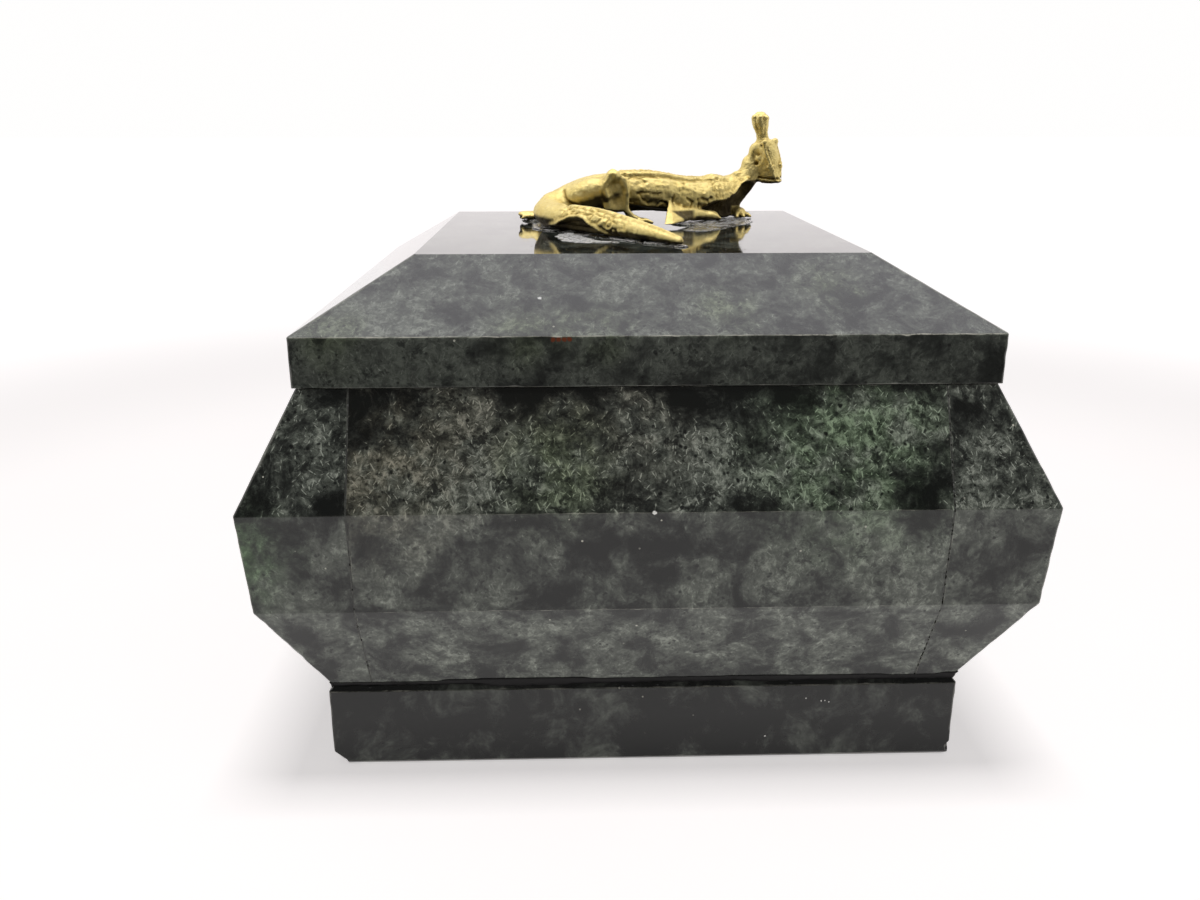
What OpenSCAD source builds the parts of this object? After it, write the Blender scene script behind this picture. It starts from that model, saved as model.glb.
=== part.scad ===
// Square trinket box of polished stone, with a hinged lid and a cast brass lizard on top.
// The body bulges in three flat bands. Two side walls run the full depth, and the front and
// back walls are glued between them. The walls stand on a slab that is plinth and floor in one.
// Millimetres, +Z up, front towards -Y. The origin is the middle of the plinth's underside.

/* [Plinth] */
// Side of the square plinth slab
plinth_side = 102; // [96:0.5:110]
// Height of the plinth slab
plinth_h = 14.8; // [8:0.1:24]
// Chamfer round the top edge of the plinth
plinth_top_chamfer = 1; // [0.3:0.1:2]
// Chamfer round the bottom edge of the plinth
plinth_foot_chamfer = 0.8; // [0.3:0.1:2]
// Thickness of the black mastic between plinth and walls
mastic_t = 0.5; // [0.2:0.05:1.5]
// How far the mastic stays back from the walls' outer edge
mastic_setback = 0.3; // [0:0.1:1.5]

/* [Body] */
// Side of the body where it stands on the mastic
body_foot_side = 101.4; // [96:0.2:108]
// Side of the body at the arris between its lower and middle bands
body_low_side = 118; // [110:0.5:126]
// Side of the body at its widest arris, between its middle and upper bands
body_bulge_side = 120; // [114:0.5:130]
// Side of the body at its top edge
body_top_side = 103.4; // [98:0.2:110]
// Height of the lower band
lower_band_h = 16.6; // [8:0.2:24]
// Height of the middle band
middle_band_h = 15.8; // [8:0.2:24]
// Height of the upper band
upper_band_h = 16.6; // [10:0.2:24]
// Clear inside width and depth of the box
cavity_side = 88.2; // [76:0.2:90]
// Thickness of the glue in the four corner joints
corner_glue_t = 0.2; // [0.1:0.05:0.6]

/* [Lid] */
// Gap between the walls and the closed lid
lid_gap = 0.15; // [0.1:0.05:0.5]
// How far the lid stands out past the body's top edge
lid_overhang = 0.5; // [0.1:0.1:2]
// Height of the lid's upright rim
lid_rim_h = 7.5; // [4:0.1:14]
// Height of the sloping part of the lid
lid_slope_h = 9.6; // [4:0.1:16]
// Side of the flat on top of the lid
lid_top_side = 71.6; // [64:0.2:90]

/* [Hinges] */
// Distance between the middles of the two hinges
hinge_spacing = 58; // [40:1:64]
// Length of one of a hinge's three knuckles
knuckle_l = 5.8; // [4.8:0.1:7.4]
// How far a leaf reaches in from the body's top edge
leaf_d = 5.8; // [5:0.1:6.4]
// Thickness of a leaf
leaf_t = 0.8; // [0.6:0.05:1.2]
// Outside diameter of a knuckle
knuckle_d = 3.2; // [2.8:0.1:4]
// Diameter of a hinge pin
pin_d = 1.5; // [1:0.1:1.8]
// Diameter of the peened head at each end of a pin
pin_head_d = 2.3; // [2:0.1:2.6]
// Height of a peened head
pin_head_h = 0.5; // [0.3:0.1:1]
// Angle at which the stop toes meet
stop_angle = 100.5; // [92:0.5:112]
// How far a stop toe reaches past the knuckle
stop_reach = 2.6; // [1.5:0.1:3.5]
// Thickness of a stop toe
stop_t = 0.9; // [0.6:0.05:1.2]
// Running clearance round the pin
pin_clear = 0.05; // [0.02:0.01:0.1]
// Clearance round and between knuckles
knuckle_clear = 0.2; // [0.1:0.05:0.3]
// Clearance round a leaf in its pocket
pocket_clear = 0.1; // [0.05:0.05:0.2]
// How much narrower than its knuckle the lid leaf is at each side of it
neck_inset = 0.3; // [0.1:0.05:0.8]

/* [Hinge screws] */
// Shank diameter of a countersunk screw
screw_d = 1.6; // [1.2:0.1:1.8]
// Head diameter of a countersunk screw
screw_head_d = 2.8; // [2.4:0.1:3.2]
// Height of the cone under a screw's head
screw_cone_h = 0.55; // [0.4:0.05:0.6]
// Length of a screw
screw_l = 5.5; // [4:0.5:7]
// Distance between the two screws of a leaf
screw_spacing = 10.5; // [8:0.5:12]
// Clearance round a screw
screw_clear = 0.04; // [0.02:0.01:0.1]
// Width of a screw's slot
screw_slot_w = 0.4; // [0.3:0.05:0.6]
// Depth of a screw's slot
screw_slot_d = 0.3; // [0.2:0.05:0.4]

/* [Figure] */
// Length of the lizard from its hind foot to its nose
figure_l = 53.6; // [35:0.2:58]
// Thickness of the clear glue under the figure
figure_glue_t = 0.3; // [0.1:0.05:0.8]
// How far the glue spreads past what it holds
figure_glue_spread = 1; // [0.3:0.1:2]

/* [Hidden] */
$fn = 48;

stone_green = [0.13, 0.15, 0.13];
mastic_black = [0.02, 0.02, 0.02];
glue_brown = [0.16, 0.15, 0.12];
clear_glue = [0.80, 0.80, 0.76, 0.5];
cast_brass = [0.80, 0.64, 0.28];
rolled_brass = [0.78, 0.60, 0.25];

// Levels
body_foot_z = plinth_h + mastic_t;
body_low_z = body_foot_z + lower_band_h;
body_bulge_z = body_low_z + middle_band_h;
body_top_z = body_bulge_z + upper_band_h;
lid_foot_z = body_top_z + lid_gap;
lid_rim_z = lid_foot_z + lid_rim_h;
lid_top_z = lid_rim_z + lid_slope_h;

// Widths and overlap for cuts
lid_side = body_top_side + 2 * lid_overhang;
reach = max(body_bulge_side, body_low_side, plinth_side, lid_side);
cut = 1;

// Hinge axis, along X behind the lid's rear face, at the middle of the parting gap
knuckle_r = knuckle_d / 2;
axis_y = lid_side / 2 + knuckle_r + knuckle_clear;
axis_z = body_top_z + lid_gap / 2;
leaf_front_y = body_top_side / 2 - leaf_d;
leaf_mid_y = leaf_front_y + leaf_d / 2;
hinge_l = 3 * knuckle_l + 2 * knuckle_clear;
toe_r = knuckle_r + stop_reach;
// The body's toes hang down parallel to the wall's upper band, and the lid's toe meets them there
body_toe_angle = atan2(upper_band_h, (body_bulge_side - body_top_side) / 2);
lid_toe_angle = stop_angle - body_toe_angle;
hinge_places = [-hinge_spacing / 2, hinge_spacing / 2];
screw_places = [for (x = hinge_places, s = [-1, 1]) x + s * screw_spacing / 2];

// Outlines of half the box, from its middle plane outwards, closed along that plane
plinth_outline = let (a = plinth_side / 2, t = plinth_top_chamfer, f = plinth_foot_chamfer) [
    [a - f, 0], [a, f], [a, plinth_h - t], [a - t, plinth_h]
];
body_outline = [
    [body_foot_side / 2, body_foot_z], [body_low_side / 2, body_low_z],
    [body_bulge_side / 2, body_bulge_z], [body_top_side / 2, body_top_z]
];
lid_outline = [
    [lid_side / 2, lid_foot_z], [lid_side / 2, lid_rim_z], [lid_top_side / 2, lid_top_z]
];

// Square solid with the same outline on all four sides
module square_turned(outline) {
    full = concat(outline, [for (i = [len(outline) - 1:-1:0]) [-outline[i][0], outline[i][1]]]);
    intersection() {
        rotate([90, 0, 0]) linear_extrude(2 * reach, center = true) polygon(full);
        rotate([90, 0, 90]) linear_extrude(2 * reach, center = true) polygon(full);
    }
}

// Box between two corners
module block(low, high) {
    translate(low) cube(high - low);
}

// Plinth and walls

module plinth() {
    color(stone_green) square_turned(plinth_outline);
}

module plinth_mastic() {
    outer = body_foot_side / 2 - mastic_setback;
    inner = cavity_side / 2;
    color(mastic_black) difference() {
        block([-outer, -outer, plinth_h], [outer, outer, body_foot_z]);
        block([-inner, -inner, plinth_h - cut], [inner, inner, body_foot_z + cut]);
    }
}

// Everything of the bulged body that lies between two corners
module body_between(low, high) {
    intersection() {
        square_turned(body_outline);
        block(low, high);
    }
}

// A full-depth wall on the side that the sign names
module side_wall(side) {
    inner = cavity_side / 2;
    color(stone_green) body_between(
        [side < 0 ? -reach : inner, -reach, 0],
        [side < 0 ? -inner : reach, reach, lid_top_z]);
}

// A wall between the side walls, at the front or back as the sign names
module cross_wall(side) {
    inner = cavity_side / 2;
    end = inner - corner_glue_t;
    body_between(
        [-end, side < 0 ? -reach : inner, 0],
        [end, side < 0 ? -inner : reach, lid_top_z]);
}

module front_wall() {
    color(stone_green) cross_wall(-1);
}

module back_wall() {
    color(stone_green) difference() {
        cross_wall(1);
        for (x = hinge_places) leaf_pocket(x, body_top_z - leaf_t - pocket_clear, body_top_z + cut);
        for (x = hinge_places) knuckle_room(x);
        for (x = screw_places) screw_hole(x, body_top_z, -1);
    }
}

module corner_glue() {
    inner = cavity_side / 2;
    color(glue_brown) for (side = [-1, 1], end = [-1, 1]) {
        low_x = side < 0 ? -inner : inner - corner_glue_t;
        body_between(
            [low_x, end < 0 ? -reach : inner, 0],
            [low_x + corner_glue_t, end < 0 ? -inner : reach, lid_top_z]);
    }
}

// Lid

module lid_slab() {
    color(stone_green) difference() {
        square_turned(lid_outline);
        for (x = hinge_places) leaf_pocket(x, lid_foot_z - cut, lid_foot_z + leaf_t + pocket_clear);
        for (x = screw_places) screw_hole(x, lid_foot_z, 1);
    }
}

// Hinges

// Pocket for a leaf, open towards the back
module leaf_pocket(x, low_z, high_z) {
    half = hinge_l / 2 + pocket_clear;
    block([x - half, leaf_front_y - pocket_clear, low_z], [x + half, reach, high_z]);
}

// Cylinder on the hinge axis, centred along X
module on_axis(r, l) {
    rotate([0, 90, 0]) cylinder(r = r, h = l, center = true);
}

// Room for knuckles and pin heads in front of the hinge axis
module knuckle_room(x) {
    translate([x, axis_y, axis_z]) on_axis(knuckle_r + knuckle_clear, hinge_l + 2 * (pin_head_h + knuckle_clear));
}

// Outline of a leaf's plate between two levels, seen along the axis
module plate_outline(low_z, high_z) {
    translate([leaf_front_y, low_z]) square([axis_y - leaf_front_y, high_z - low_z]);
}

// Outline of a knuckle and of a stop toe that points back from the axis at an angle above the horizontal.
// The toe lies on the side of that line that the sign names.
module knuckle_outline(toe_angle, side) {
    translate([axis_y, axis_z]) {
        circle(r = knuckle_r);
        rotate(toe_angle) translate([0, side < 0 ? -stop_t : 0]) square([toe_r, stop_t]);
    }
}

// An outline carried along the axis
module along_axis(l) {
    rotate([90, 0, 90]) linear_extrude(l, center = true) children();
}

// Bore for the pin
module pin_bore() {
    translate([0, axis_y, axis_z]) on_axis(pin_d / 2 + pin_clear, hinge_l + 2 * cut);
}

// Countersunk holes of a leaf whose outer face is at a level, with the screws going the way of the sign
module leaf_holes(level, way) {
    for (s = [-1, 1])
        translate([s * screw_spacing / 2, leaf_mid_y, level]) screw_body(screw_clear, way, cut);
}

// Leaf let into the top of the back wall, with the two outer knuckles and the fixed stop toe
module hinge_body_leaf(x) {
    color(rolled_brass) translate([x, 0, 0]) difference() {
        along_axis(hinge_l) {
            plate_outline(body_top_z - leaf_t, body_top_z);
            knuckle_outline(-body_toe_angle, -1);
        }
        translate([0, axis_y, axis_z]) on_axis(knuckle_r + knuckle_clear, knuckle_l + 2 * knuckle_clear);
        pin_bore();
        leaf_holes(body_top_z, -1);
    }
}

// Leaf let into the lid's underside, with the middle knuckle and the moving stop toe
module hinge_lid_leaf(x) {
    neck_l = knuckle_l - 2 * neck_inset;
    color(rolled_brass) translate([x, 0, 0]) difference() {
        union() {
            difference() {
                along_axis(hinge_l) plate_outline(lid_foot_z, lid_foot_z + leaf_t);
                for (s = [-1, 1]) translate([s * (neck_l + hinge_l) / 2, axis_y, axis_z])
                    on_axis(knuckle_r + knuckle_clear, hinge_l);
            }
            along_axis(knuckle_l) knuckle_outline(lid_toe_angle, 1);
        }
        pin_bore();
        leaf_holes(lid_foot_z, 1);
    }
}

// Pin with a peened head at each end
module hinge_pin(x) {
    half = hinge_l / 2 + pin_clear;
    color(rolled_brass) translate([x, axis_y, axis_z]) {
        on_axis(pin_d / 2, 2 * half);
        for (s = [-1, 1]) translate([s * (half + pin_head_h / 2), 0, 0]) on_axis(pin_head_d / 2, pin_head_h);
    }
}

// Countersunk screw from its head's face at the origin, grown all round by a clearance.
// The sign says which way along Z it goes, and the face is carried past its level by an extra height.
module screw_body(clear, way, extra) {
    mirror([0, 0, way < 0 ? 1 : 0]) {
        translate([0, 0, -extra]) cylinder(r = screw_head_d / 2 + clear, h = extra + clear);
        translate([0, 0, clear])
            cylinder(r1 = screw_head_d / 2 + clear, r2 = screw_d / 2 + clear, h = screw_cone_h);
        cylinder(r = screw_d / 2 + clear, h = screw_l + clear);
    }
}

// Hole for a screw's shank below the leaf
module screw_hole(x, level, way) {
    translate([x, leaf_mid_y, level]) screw_body(screw_clear, way, cut);
}

// Slotted screws of one side's two leaves, with their heads a hair below the leaves' faces
module leaf_screws(level, way) {
    color(rolled_brass) for (x = screw_places) translate([x, leaf_mid_y, level + way * screw_clear]) difference() {
        mirror([0, 0, way < 0 ? 1 : 0]) {
            cylinder(r1 = screw_head_d / 2, r2 = screw_d / 2, h = screw_cone_h);
            cylinder(r = screw_d / 2, h = screw_l - screw_clear);
        }
        cube([screw_slot_w, screw_head_d + cut, 2 * screw_slot_d], center = true);
    }
}

module body_leaf_screws() {
    leaf_screws(body_top_z, -1);
}

module lid_leaf_screws() {
    leaf_screws(lid_foot_z, 1);
}

// Lizard
// Stations are [x, y, z, half width, half height] at the size that the figure was drawn at, with the
// origin in the middle of the lid's flat, where the glue's top lies.

figure_drawn_l = 53.6;
figure_scale = figure_l / figure_drawn_l;

trunk = [
    [-16.2, 8.8, 2.2, 2.4, 1.9], [-12.5, 8.6, 3.8, 3.7, 3.3], [-7.5, 9, 5.1, 4.3, 3.9],
    [-2, 10.2, 5.6, 4.1, 3.8], [4, 12, 5.7, 4.3, 3.6], [10, 14.6, 4.9, 4.2, 3.3],
    [15.5, 17.4, 4.5, 4.3, 3.3], [20, 19.6, 4.6, 3.8, 3.5], [23.2, 20.4, 6.4, 3.2, 3.3], [25.6, 20.4, 9.4, 2.7, 2.7]
];
head = [
    [23.9, 20.9, 9.7, 1.2, 0.9], [25.2, 20.6, 10.2, 2.6, 2.5], [27, 20.2, 10.8, 3.1, 3.9],
    [28.8, 19.6, 10.9, 2.9, 4.3], [30.2, 19.1, 10.7, 2.3, 3.9], [31.1, 18.7, 10.2, 1.4, 2.4]
];
tail = [
    [-11, 9.4, 3.8, 3.7, 3.3], [-14.8, 6.6, 2.7, 3.5, 2.7], [-14.6, 2, 2.2, 3.3, 2.3],
    [-11, -4, 2.1, 3.1, 2.25], [-6.4, -10, 2, 2.8, 2.2], [-1.8, -16, 1.6, 2.2, 1.75],
    [2.6, -21.8, 1.1, 1.5, 1.25], [6.5, -26.9, 0.5, 0.6, 0.6]
];
limbs = [
    // Near hind thigh and shin
    [[-9.5, 7, 5, 2.8, 2.9], [-6.2, 4.8, 7.3, 2.3, 2.3], [-3.8, 4.2, 8.7, 1.7, 1.6]],
    [[-3.6, 4.2, 8.8, 1.5, 1.6], [-1.9, 4.4, 5.6, 1.3, 1.4], [-0.6, 5, 2.4, 1.1, 1.2], [1.4, 5.4, 0.7, 1.2, 0.8]],
    // Near upper arm and forearm
    [[14.6, 14.2, 5, 2.1, 2.2], [11, 11.4, 4.1, 1.8, 2], [8.3, 9.4, 2.2, 1, 1.9]],
    [[8, 9.2, 1.7, 1, 1.7], [11.6, 11, 1.5, 1.4, 1.5], [15, 13.2, 1.1, 1.2, 1.1], [17.4, 15, 0.8, 1.4, 0.8]],
    // Far hind thigh and shin
    [[-9, 11.6, 4.8, 2.7, 2.7], [-11.2, 15, 4.4, 2.1, 2.1], [-12.6, 17.2, 3.4, 1.5, 1.6]],
    [[-12.4, 17.2, 3.2, 1.4, 1.5], [-15.6, 16.8, 2, 1.2, 1.2], [-18.6, 16.4, 0.9, 1.3, 0.9]],
    // Far upper arm and forearm
    [[16.6, 21, 4.8, 2, 2.2], [14.4, 24, 3.8, 1.7, 1.8], [13.4, 26, 2.2, 1.2, 1.7]],
    [[13.4, 26, 1.9, 1.2, 1.6], [18, 26.6, 1.4, 1.3, 1.3], [22, 26.6, 0.9, 1.3, 0.9]]
];
// Feet as [x, y, heading in degrees, length of the toes]
feet = [[1.4, 5.4, 14, 2.6], [17.4, 15, 38, 2.6], [-18.6, 16.4, 186, 2.8], [22, 26.6, 4, 3]];
toe_root_r = 0.6;
toe_tip_r = 0.4;
toe_z = 0.35;
toe_gap = 0.75;
toe_fan = 26;
// Flared crest on the head, as radius and height above its root
crest_root = [27.6, 20.1, 15];
crest_lean = -7;
crest_outline = [[0, -1.5], [1.1, -1.5], [0.95, 0.3], [0.75, 2.8], [1.3, 4], [1.75, 4.9], [1.5, 5.7], [0, 5.3]];
eye_places = [[27.6, 17.4, 11.6], [27.8, 22.6, 11.6]];
eye_r = 0.9;
ring_sides = 12;
span_steps = 3;

// Point of a smooth curve through b and c, with a and d beyond them
function on_curve(a, b, c, d, t) =
    0.5 * (2 * b + (c - a) * t + (2 * a - 5 * b + 4 * c - d) * t ^ 2 + (3 * b - a - 3 * c + d) * t ^ 3);

// Stations with more of them put in along the same smooth curve
function filled(s) = let (n = len(s) - 1) concat(
    [for (i = [0:n - 1], k = [0:span_steps - 1])
        on_curve(s[max(i - 1, 0)], s[i], s[i + 1], s[min(i + 2, n)], k / span_steps)],
    [s[n]]);

function place(s) = [s[0], s[1], s[2]];
function unit(v) = v / norm(v);

// Skin over a row of elliptical rings that stand square to their path
module loft(stations) {
    s = filled(stations);
    n = len(s);
    points = [for (i = [0:n - 1])
        let (
            along = unit(place(s[min(i + 1, n - 1)]) - place(s[max(i - 1, 0)])),
            across = unit(cross(along, [0, 0, 1])),
            up = cross(across, along)
        )
        for (k = [0:ring_sides - 1])
            let (a = 360 * k / ring_sides)
            place(s[i]) + s[i][3] * cos(a) * across + s[i][4] * sin(a) * up];
    side_faces = [for (i = [0:n - 2], k = [0:ring_sides - 1])
        let (a = i * ring_sides + k, b = i * ring_sides + (k + 1) % ring_sides)
        each [[a, b, b + ring_sides], [a, b + ring_sides, a + ring_sides]]];
    first_cap = [[for (k = [ring_sides - 1:-1:0]) k]];
    last_cap = [[for (k = [0:ring_sides - 1]) (n - 1) * ring_sides + k]];
    polyhedron(points, concat(first_cap, side_faces, last_cap));
}

// Three toes that fan out from the end of a foot
module toes(foot) {
    for (i = [-1:1]) translate([foot[0], foot[1], toe_z]) rotate([0, 0, foot[2]]) translate([0, i * toe_gap, 0])
        rotate([0, 0, i * toe_fan]) hull() {
            sphere(r = toe_root_r, $fn = 8);
            translate([foot[3], 0, 0]) sphere(r = toe_tip_r, $fn = 8);
        }
}

module lizard_figure() {
    color(cast_brass) translate([0, 0, lid_top_z + figure_glue_t]) scale(figure_scale) difference() {
        union() {
            loft(trunk);
            loft(head);
            loft(tail);
            for (limb = limbs) loft(limb);
            for (foot = feet) toes(foot);
            for (p = eye_places) translate(p) sphere(r = eye_r, $fn = 14);
            translate(crest_root) rotate([0, crest_lean, 0]) rotate_extrude($fn = 14) polygon(crest_outline);
        }
        translate([0, 0, -reach]) cube(2 * reach, center = true);
    }
}

// Thin puddle of clear glue under the tail, the limbs that touch the lid, and their toes
module figure_glue() {
    color(clear_glue) translate([0, 0, lid_top_z]) {
        for (i = [1:len(tail) - 2]) hull() for (s = [tail[i], tail[i + 1]]) glue_spot(s[0], s[1], s[3]);
        for (limb = [limbs[1], limbs[3], limbs[5], limbs[7]]) {
            last = len(limb) - 1;
            hull() for (s = [limb[last - 1], limb[last]]) glue_spot(s[0], s[1], s[3]);
        }
    }
}

// One round of the puddle, under a figure's round of a radius
module glue_spot(x, y, r) {
    translate([x, y, 0] * figure_scale)
        cylinder(r = r * figure_scale + figure_glue_spread, h = figure_glue_t, $fn = 24);
}

plinth();
plinth_mastic();
front_wall();
back_wall();
side_wall(-1);  // left_wall
side_wall(1);  // right_wall
corner_glue();
lid_slab();
lizard_figure();
figure_glue();
hinge_body_leaf(hinge_places[0]);  // left_hinge_body_leaf
hinge_body_leaf(hinge_places[1]);  // right_hinge_body_leaf
hinge_lid_leaf(hinge_places[0]);  // left_hinge_lid_leaf
hinge_lid_leaf(hinge_places[1]);  // right_hinge_lid_leaf
hinge_pin(hinge_places[0]);  // left_hinge_pin
hinge_pin(hinge_places[1]);  // right_hinge_pin
body_leaf_screws();
lid_leaf_screws();
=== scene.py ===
"""Looks of a square trinket box of polished serpentine, with a cast brass lizard on its hinged lid."""

import logging
import math
from dataclasses import dataclass, field
from enum import Enum
from itertools import product
from typing import Sequence

import bmesh
import bpy
import numpy as np
from mathutils import Euler, Matrix, Vector, noise


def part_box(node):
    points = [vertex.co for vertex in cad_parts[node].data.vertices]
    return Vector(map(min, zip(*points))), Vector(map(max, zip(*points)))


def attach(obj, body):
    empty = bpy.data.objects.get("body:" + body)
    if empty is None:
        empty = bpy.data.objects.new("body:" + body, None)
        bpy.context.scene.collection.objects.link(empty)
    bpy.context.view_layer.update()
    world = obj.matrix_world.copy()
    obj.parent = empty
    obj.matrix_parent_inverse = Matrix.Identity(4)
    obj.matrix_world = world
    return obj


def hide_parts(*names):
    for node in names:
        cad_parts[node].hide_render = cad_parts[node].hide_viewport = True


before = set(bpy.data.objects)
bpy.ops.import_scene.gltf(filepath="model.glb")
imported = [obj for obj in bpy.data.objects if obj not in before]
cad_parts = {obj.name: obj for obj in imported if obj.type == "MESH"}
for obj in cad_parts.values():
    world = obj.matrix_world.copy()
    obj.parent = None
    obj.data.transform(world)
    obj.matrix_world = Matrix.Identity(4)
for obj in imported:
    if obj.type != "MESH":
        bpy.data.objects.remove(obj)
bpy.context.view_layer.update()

MM = 0.001
LOG = logging.getLogger("trinket_box")

# Clay: the distance that counts as far from any form, and the room left round each form, in millimetres.
FAR = 9.0
MARGIN = 0.8

# A station of a bar or path is a place with half a width and half a height.
Colour = tuple[float, float, float]
Point = tuple[float, float, float]
Station = tuple[float, float, float, float, float]
Socket = bpy.types.NodeSocket


class Body(Enum):
    """The two bodies that the hinge joins."""

    BASE = "base"
    LID = "lid"


class Slot(Enum):
    """Material slots of the record, which no piece in this script fills."""

    STONE = "stone"
    MASTIC = "mastic"
    CORNER_GLUE = "corner_glue"
    CLEAR_GLUE = "clear_glue"
    FIGURE_BRASS = "figure_brass"


class Graph:
    """Lays shader nodes into a material or a world, with coordinates in millimetres."""

    def __init__(self, holder: bpy.types.Material | bpy.types.World) -> None:
        """Start with an empty node tree.

        Args:
            holder: New material or world.
        """
        holder.use_nodes = True
        self.holder = holder
        self.tree = holder.node_tree
        self.tree.nodes.clear()

    def node(self, kind: str, *ordered: object, settings: dict[str, object] | None = None,
             **named: object) -> bpy.types.Node:
        """Add a node, set its plain properties and fill its inputs.

        Args:
            kind: Blender's name for the type of node.
            ordered: Output sockets or plain values for the first inputs.
            settings: Properties of the node.
            named: Output sockets or plain values by the inputs' names, with underscores for spaces.

        Returns:
            The new node.
        """
        made = self.tree.nodes.new(kind)
        for key, value in (settings or {}).items():
            setattr(made, key, value)
        for socket, value in zip(made.inputs, ordered):
            self.put(socket, value)
        for key, value in named.items():
            self.put(made.inputs[key.replace("_", " ")], value)
        return made

    def put(self, socket: Socket, value: object) -> None:
        """Link a socket to an input, or set the input's own value.

        Args:
            socket: Input to fill.
            value: Output socket, number, colour or vector.
        """
        if isinstance(value, Socket):
            self.tree.links.new(value, socket)
        elif isinstance(value, tuple) and socket.type == "RGBA" and len(value) == 3:
            socket.default_value = (*value, 1.0)
        else:
            socket.default_value = value

    def place(self, offset: Point = (0, 0, 0), stretch: Point = (1, 1, 1)) -> Socket:
        """Give the piece's own coordinates in millimetres.

        Args:
            offset: Shift of the pattern in millimetres.
            stretch: Share of the scale along each axis.

        Returns:
            Vector output.
        """
        where = self.node("ShaderNodeTexCoord").outputs["Object"]
        scale = tuple(s / MM for s in stretch)
        return self.node("ShaderNodeMapping", Vector=where, Location=offset, Scale=scale).outputs["Vector"]

    def noise(self, at: Socket, size: float, detail: float, rough: float, warp: float = 0.0) -> Socket:
        """Cloudy noise.

        Args:
            at: Coordinates.
            size: Size of the largest clouds in millimetres.
            detail: Number of octaves.
            rough: Share that each octave keeps.
            warp: Distortion of the clouds.

        Returns:
            Value from 0 to 1.
        """
        made = self.node("ShaderNodeTexNoise", Vector=at, Scale=1.0 / size, Detail=detail, Roughness=rough,
                         Distortion=warp)
        return made.outputs["Fac"]

    def cells(self, at: Socket, size: float) -> Socket:
        """Distance to the middle of the nearest of some cells, in cells of a size in millimetres."""
        return self.node("ShaderNodeTexVoronoi", Vector=at, Scale=1.0 / size).outputs["Distance"]

    def warped(self, at: Socket, size: float, amount: float) -> Socket:
        """Coordinates that noise pushes by an amount, in bends of a size in millimetres."""
        push = self.node("ShaderNodeTexNoise", Vector=at, Scale=1.0 / size, Detail=3.0).outputs["Color"]
        return self.vector("MULTIPLY_ADD", push, (amount, amount, amount), at)

    def vector(self, kind: str, *values: object) -> Socket:
        """Result of an operation on vectors, which is a vector or a number."""
        made = self.node("ShaderNodeVectorMath", *values, settings={"operation": kind})
        return made.outputs["Value" if kind in ("DOT_PRODUCT", "LENGTH", "DISTANCE") else "Vector"]

    def part(self, vector: Socket, axis: str) -> Socket:
        """One coordinate of a vector."""
        return self.node("ShaderNodeSeparateXYZ", vector).outputs[axis]

    def span(self, value: Socket, low: float, high: float, first: float = 0.0, last: float = 1.0) -> Socket:
        """Carry a range of values smoothly onto another range.

        Args:
            value: Value to carry over.
            low: Value that becomes first.
            high: Value that becomes last.
            first: New value at low.
            last: New value at high.

        Returns:
            New value.
        """
        smooth = {"interpolation_type": "SMOOTHSTEP"}
        made = self.node("ShaderNodeMapRange", value, low, high, first, last, settings=smooth)
        return made.outputs["Result"]

    def math(self, kind: str, one: object, two: object = 0.0) -> Socket:
        """Result of an operation on one or two values, kept between 0 and 1."""
        clamped = {"operation": kind, "use_clamp": True}
        return self.node("ShaderNodeMath", one, two, settings=clamped).outputs[0]

    def mix(self, share: object, one: object, two: object, kind: str = "MIX") -> Socket:
        """Mix two colours.

        Args:
            share: How much of the second colour shows.
            one: First colour.
            two: Second colour.
            kind: Blender's name for the way of mixing.

        Returns:
            Mixed colour.
        """
        coloured = {"data_type": "RGBA", "blend_type": kind}
        made = self.node("ShaderNodeMix", settings=coloured, Factor=share, A=one, B=two)
        return [o for o in made.outputs if o.type == "RGBA"][0]

    def ramp(self, value: Socket, stops: list[tuple[float, Colour]]) -> Socket:
        """Colour a value.

        Args:
            value: Value from 0 to 1.
            stops: Places and colours along the ramp.

        Returns:
            Colour.
        """
        made = self.node("ShaderNodeValToRGB", Fac=value)
        line = made.color_ramp
        while len(line.elements) < len(stops):
            line.elements.new(0.5)
        for element, (at, colour) in zip(line.elements, stops):
            element.position = at
            element.color = (*colour, 1.0)
        return made.outputs["Color"]

    def painted(self, name: str) -> Socket:
        """Value that is painted on the mesh's points under a name."""
        return self.node("ShaderNodeAttribute", settings={"attribute_name": name}).outputs["Fac"]

    def bump(self, height: Socket, depth: float, strength: float, under: Socket | None = None) -> Socket:
        """Turn a height into a normal.

        Args:
            height: Height from 0 to 1.
            depth: What a height of 1 is worth in millimetres.
            strength: Share of the effect.
            under: Normal to build on.

        Returns:
            Normal.
        """
        made = self.node("ShaderNodeBump", Height=height, Distance=depth * MM, Strength=strength)
        if under is not None:
            self.put(made.inputs["Normal"], under)
        return made.outputs["Normal"]

    def surface(self, **values: object) -> bpy.types.Material:
        """Close the material with one principled shader, whose inputs are named as for a node."""
        return self.closed(self.node("ShaderNodeBsdfPrincipled", **values).outputs["BSDF"])

    def closed(self, shader: Socket) -> bpy.types.Material:
        """Send a shader to the surface and return the finished material."""
        self.node("ShaderNodeOutputMaterial", Surface=shader)
        return self.holder


@dataclass(frozen=True)
class Stain:
    """A soft-edged patch of other colour in the stone."""

    centre: Point
    radius: float
    colour: Colour
    strength: float


@dataclass(frozen=True)
class Patch:
    """A soft-edged place where the stone holds more or less pale matter, or that paints shade on it."""

    centre: Point
    radius: float
    gain: float


@dataclass(frozen=True)
class Fleck:
    """A small sharp spot of another mineral."""

    centre: Point
    radius: float
    colour: Colour = (0.75, 0.74, 0.7)


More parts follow.
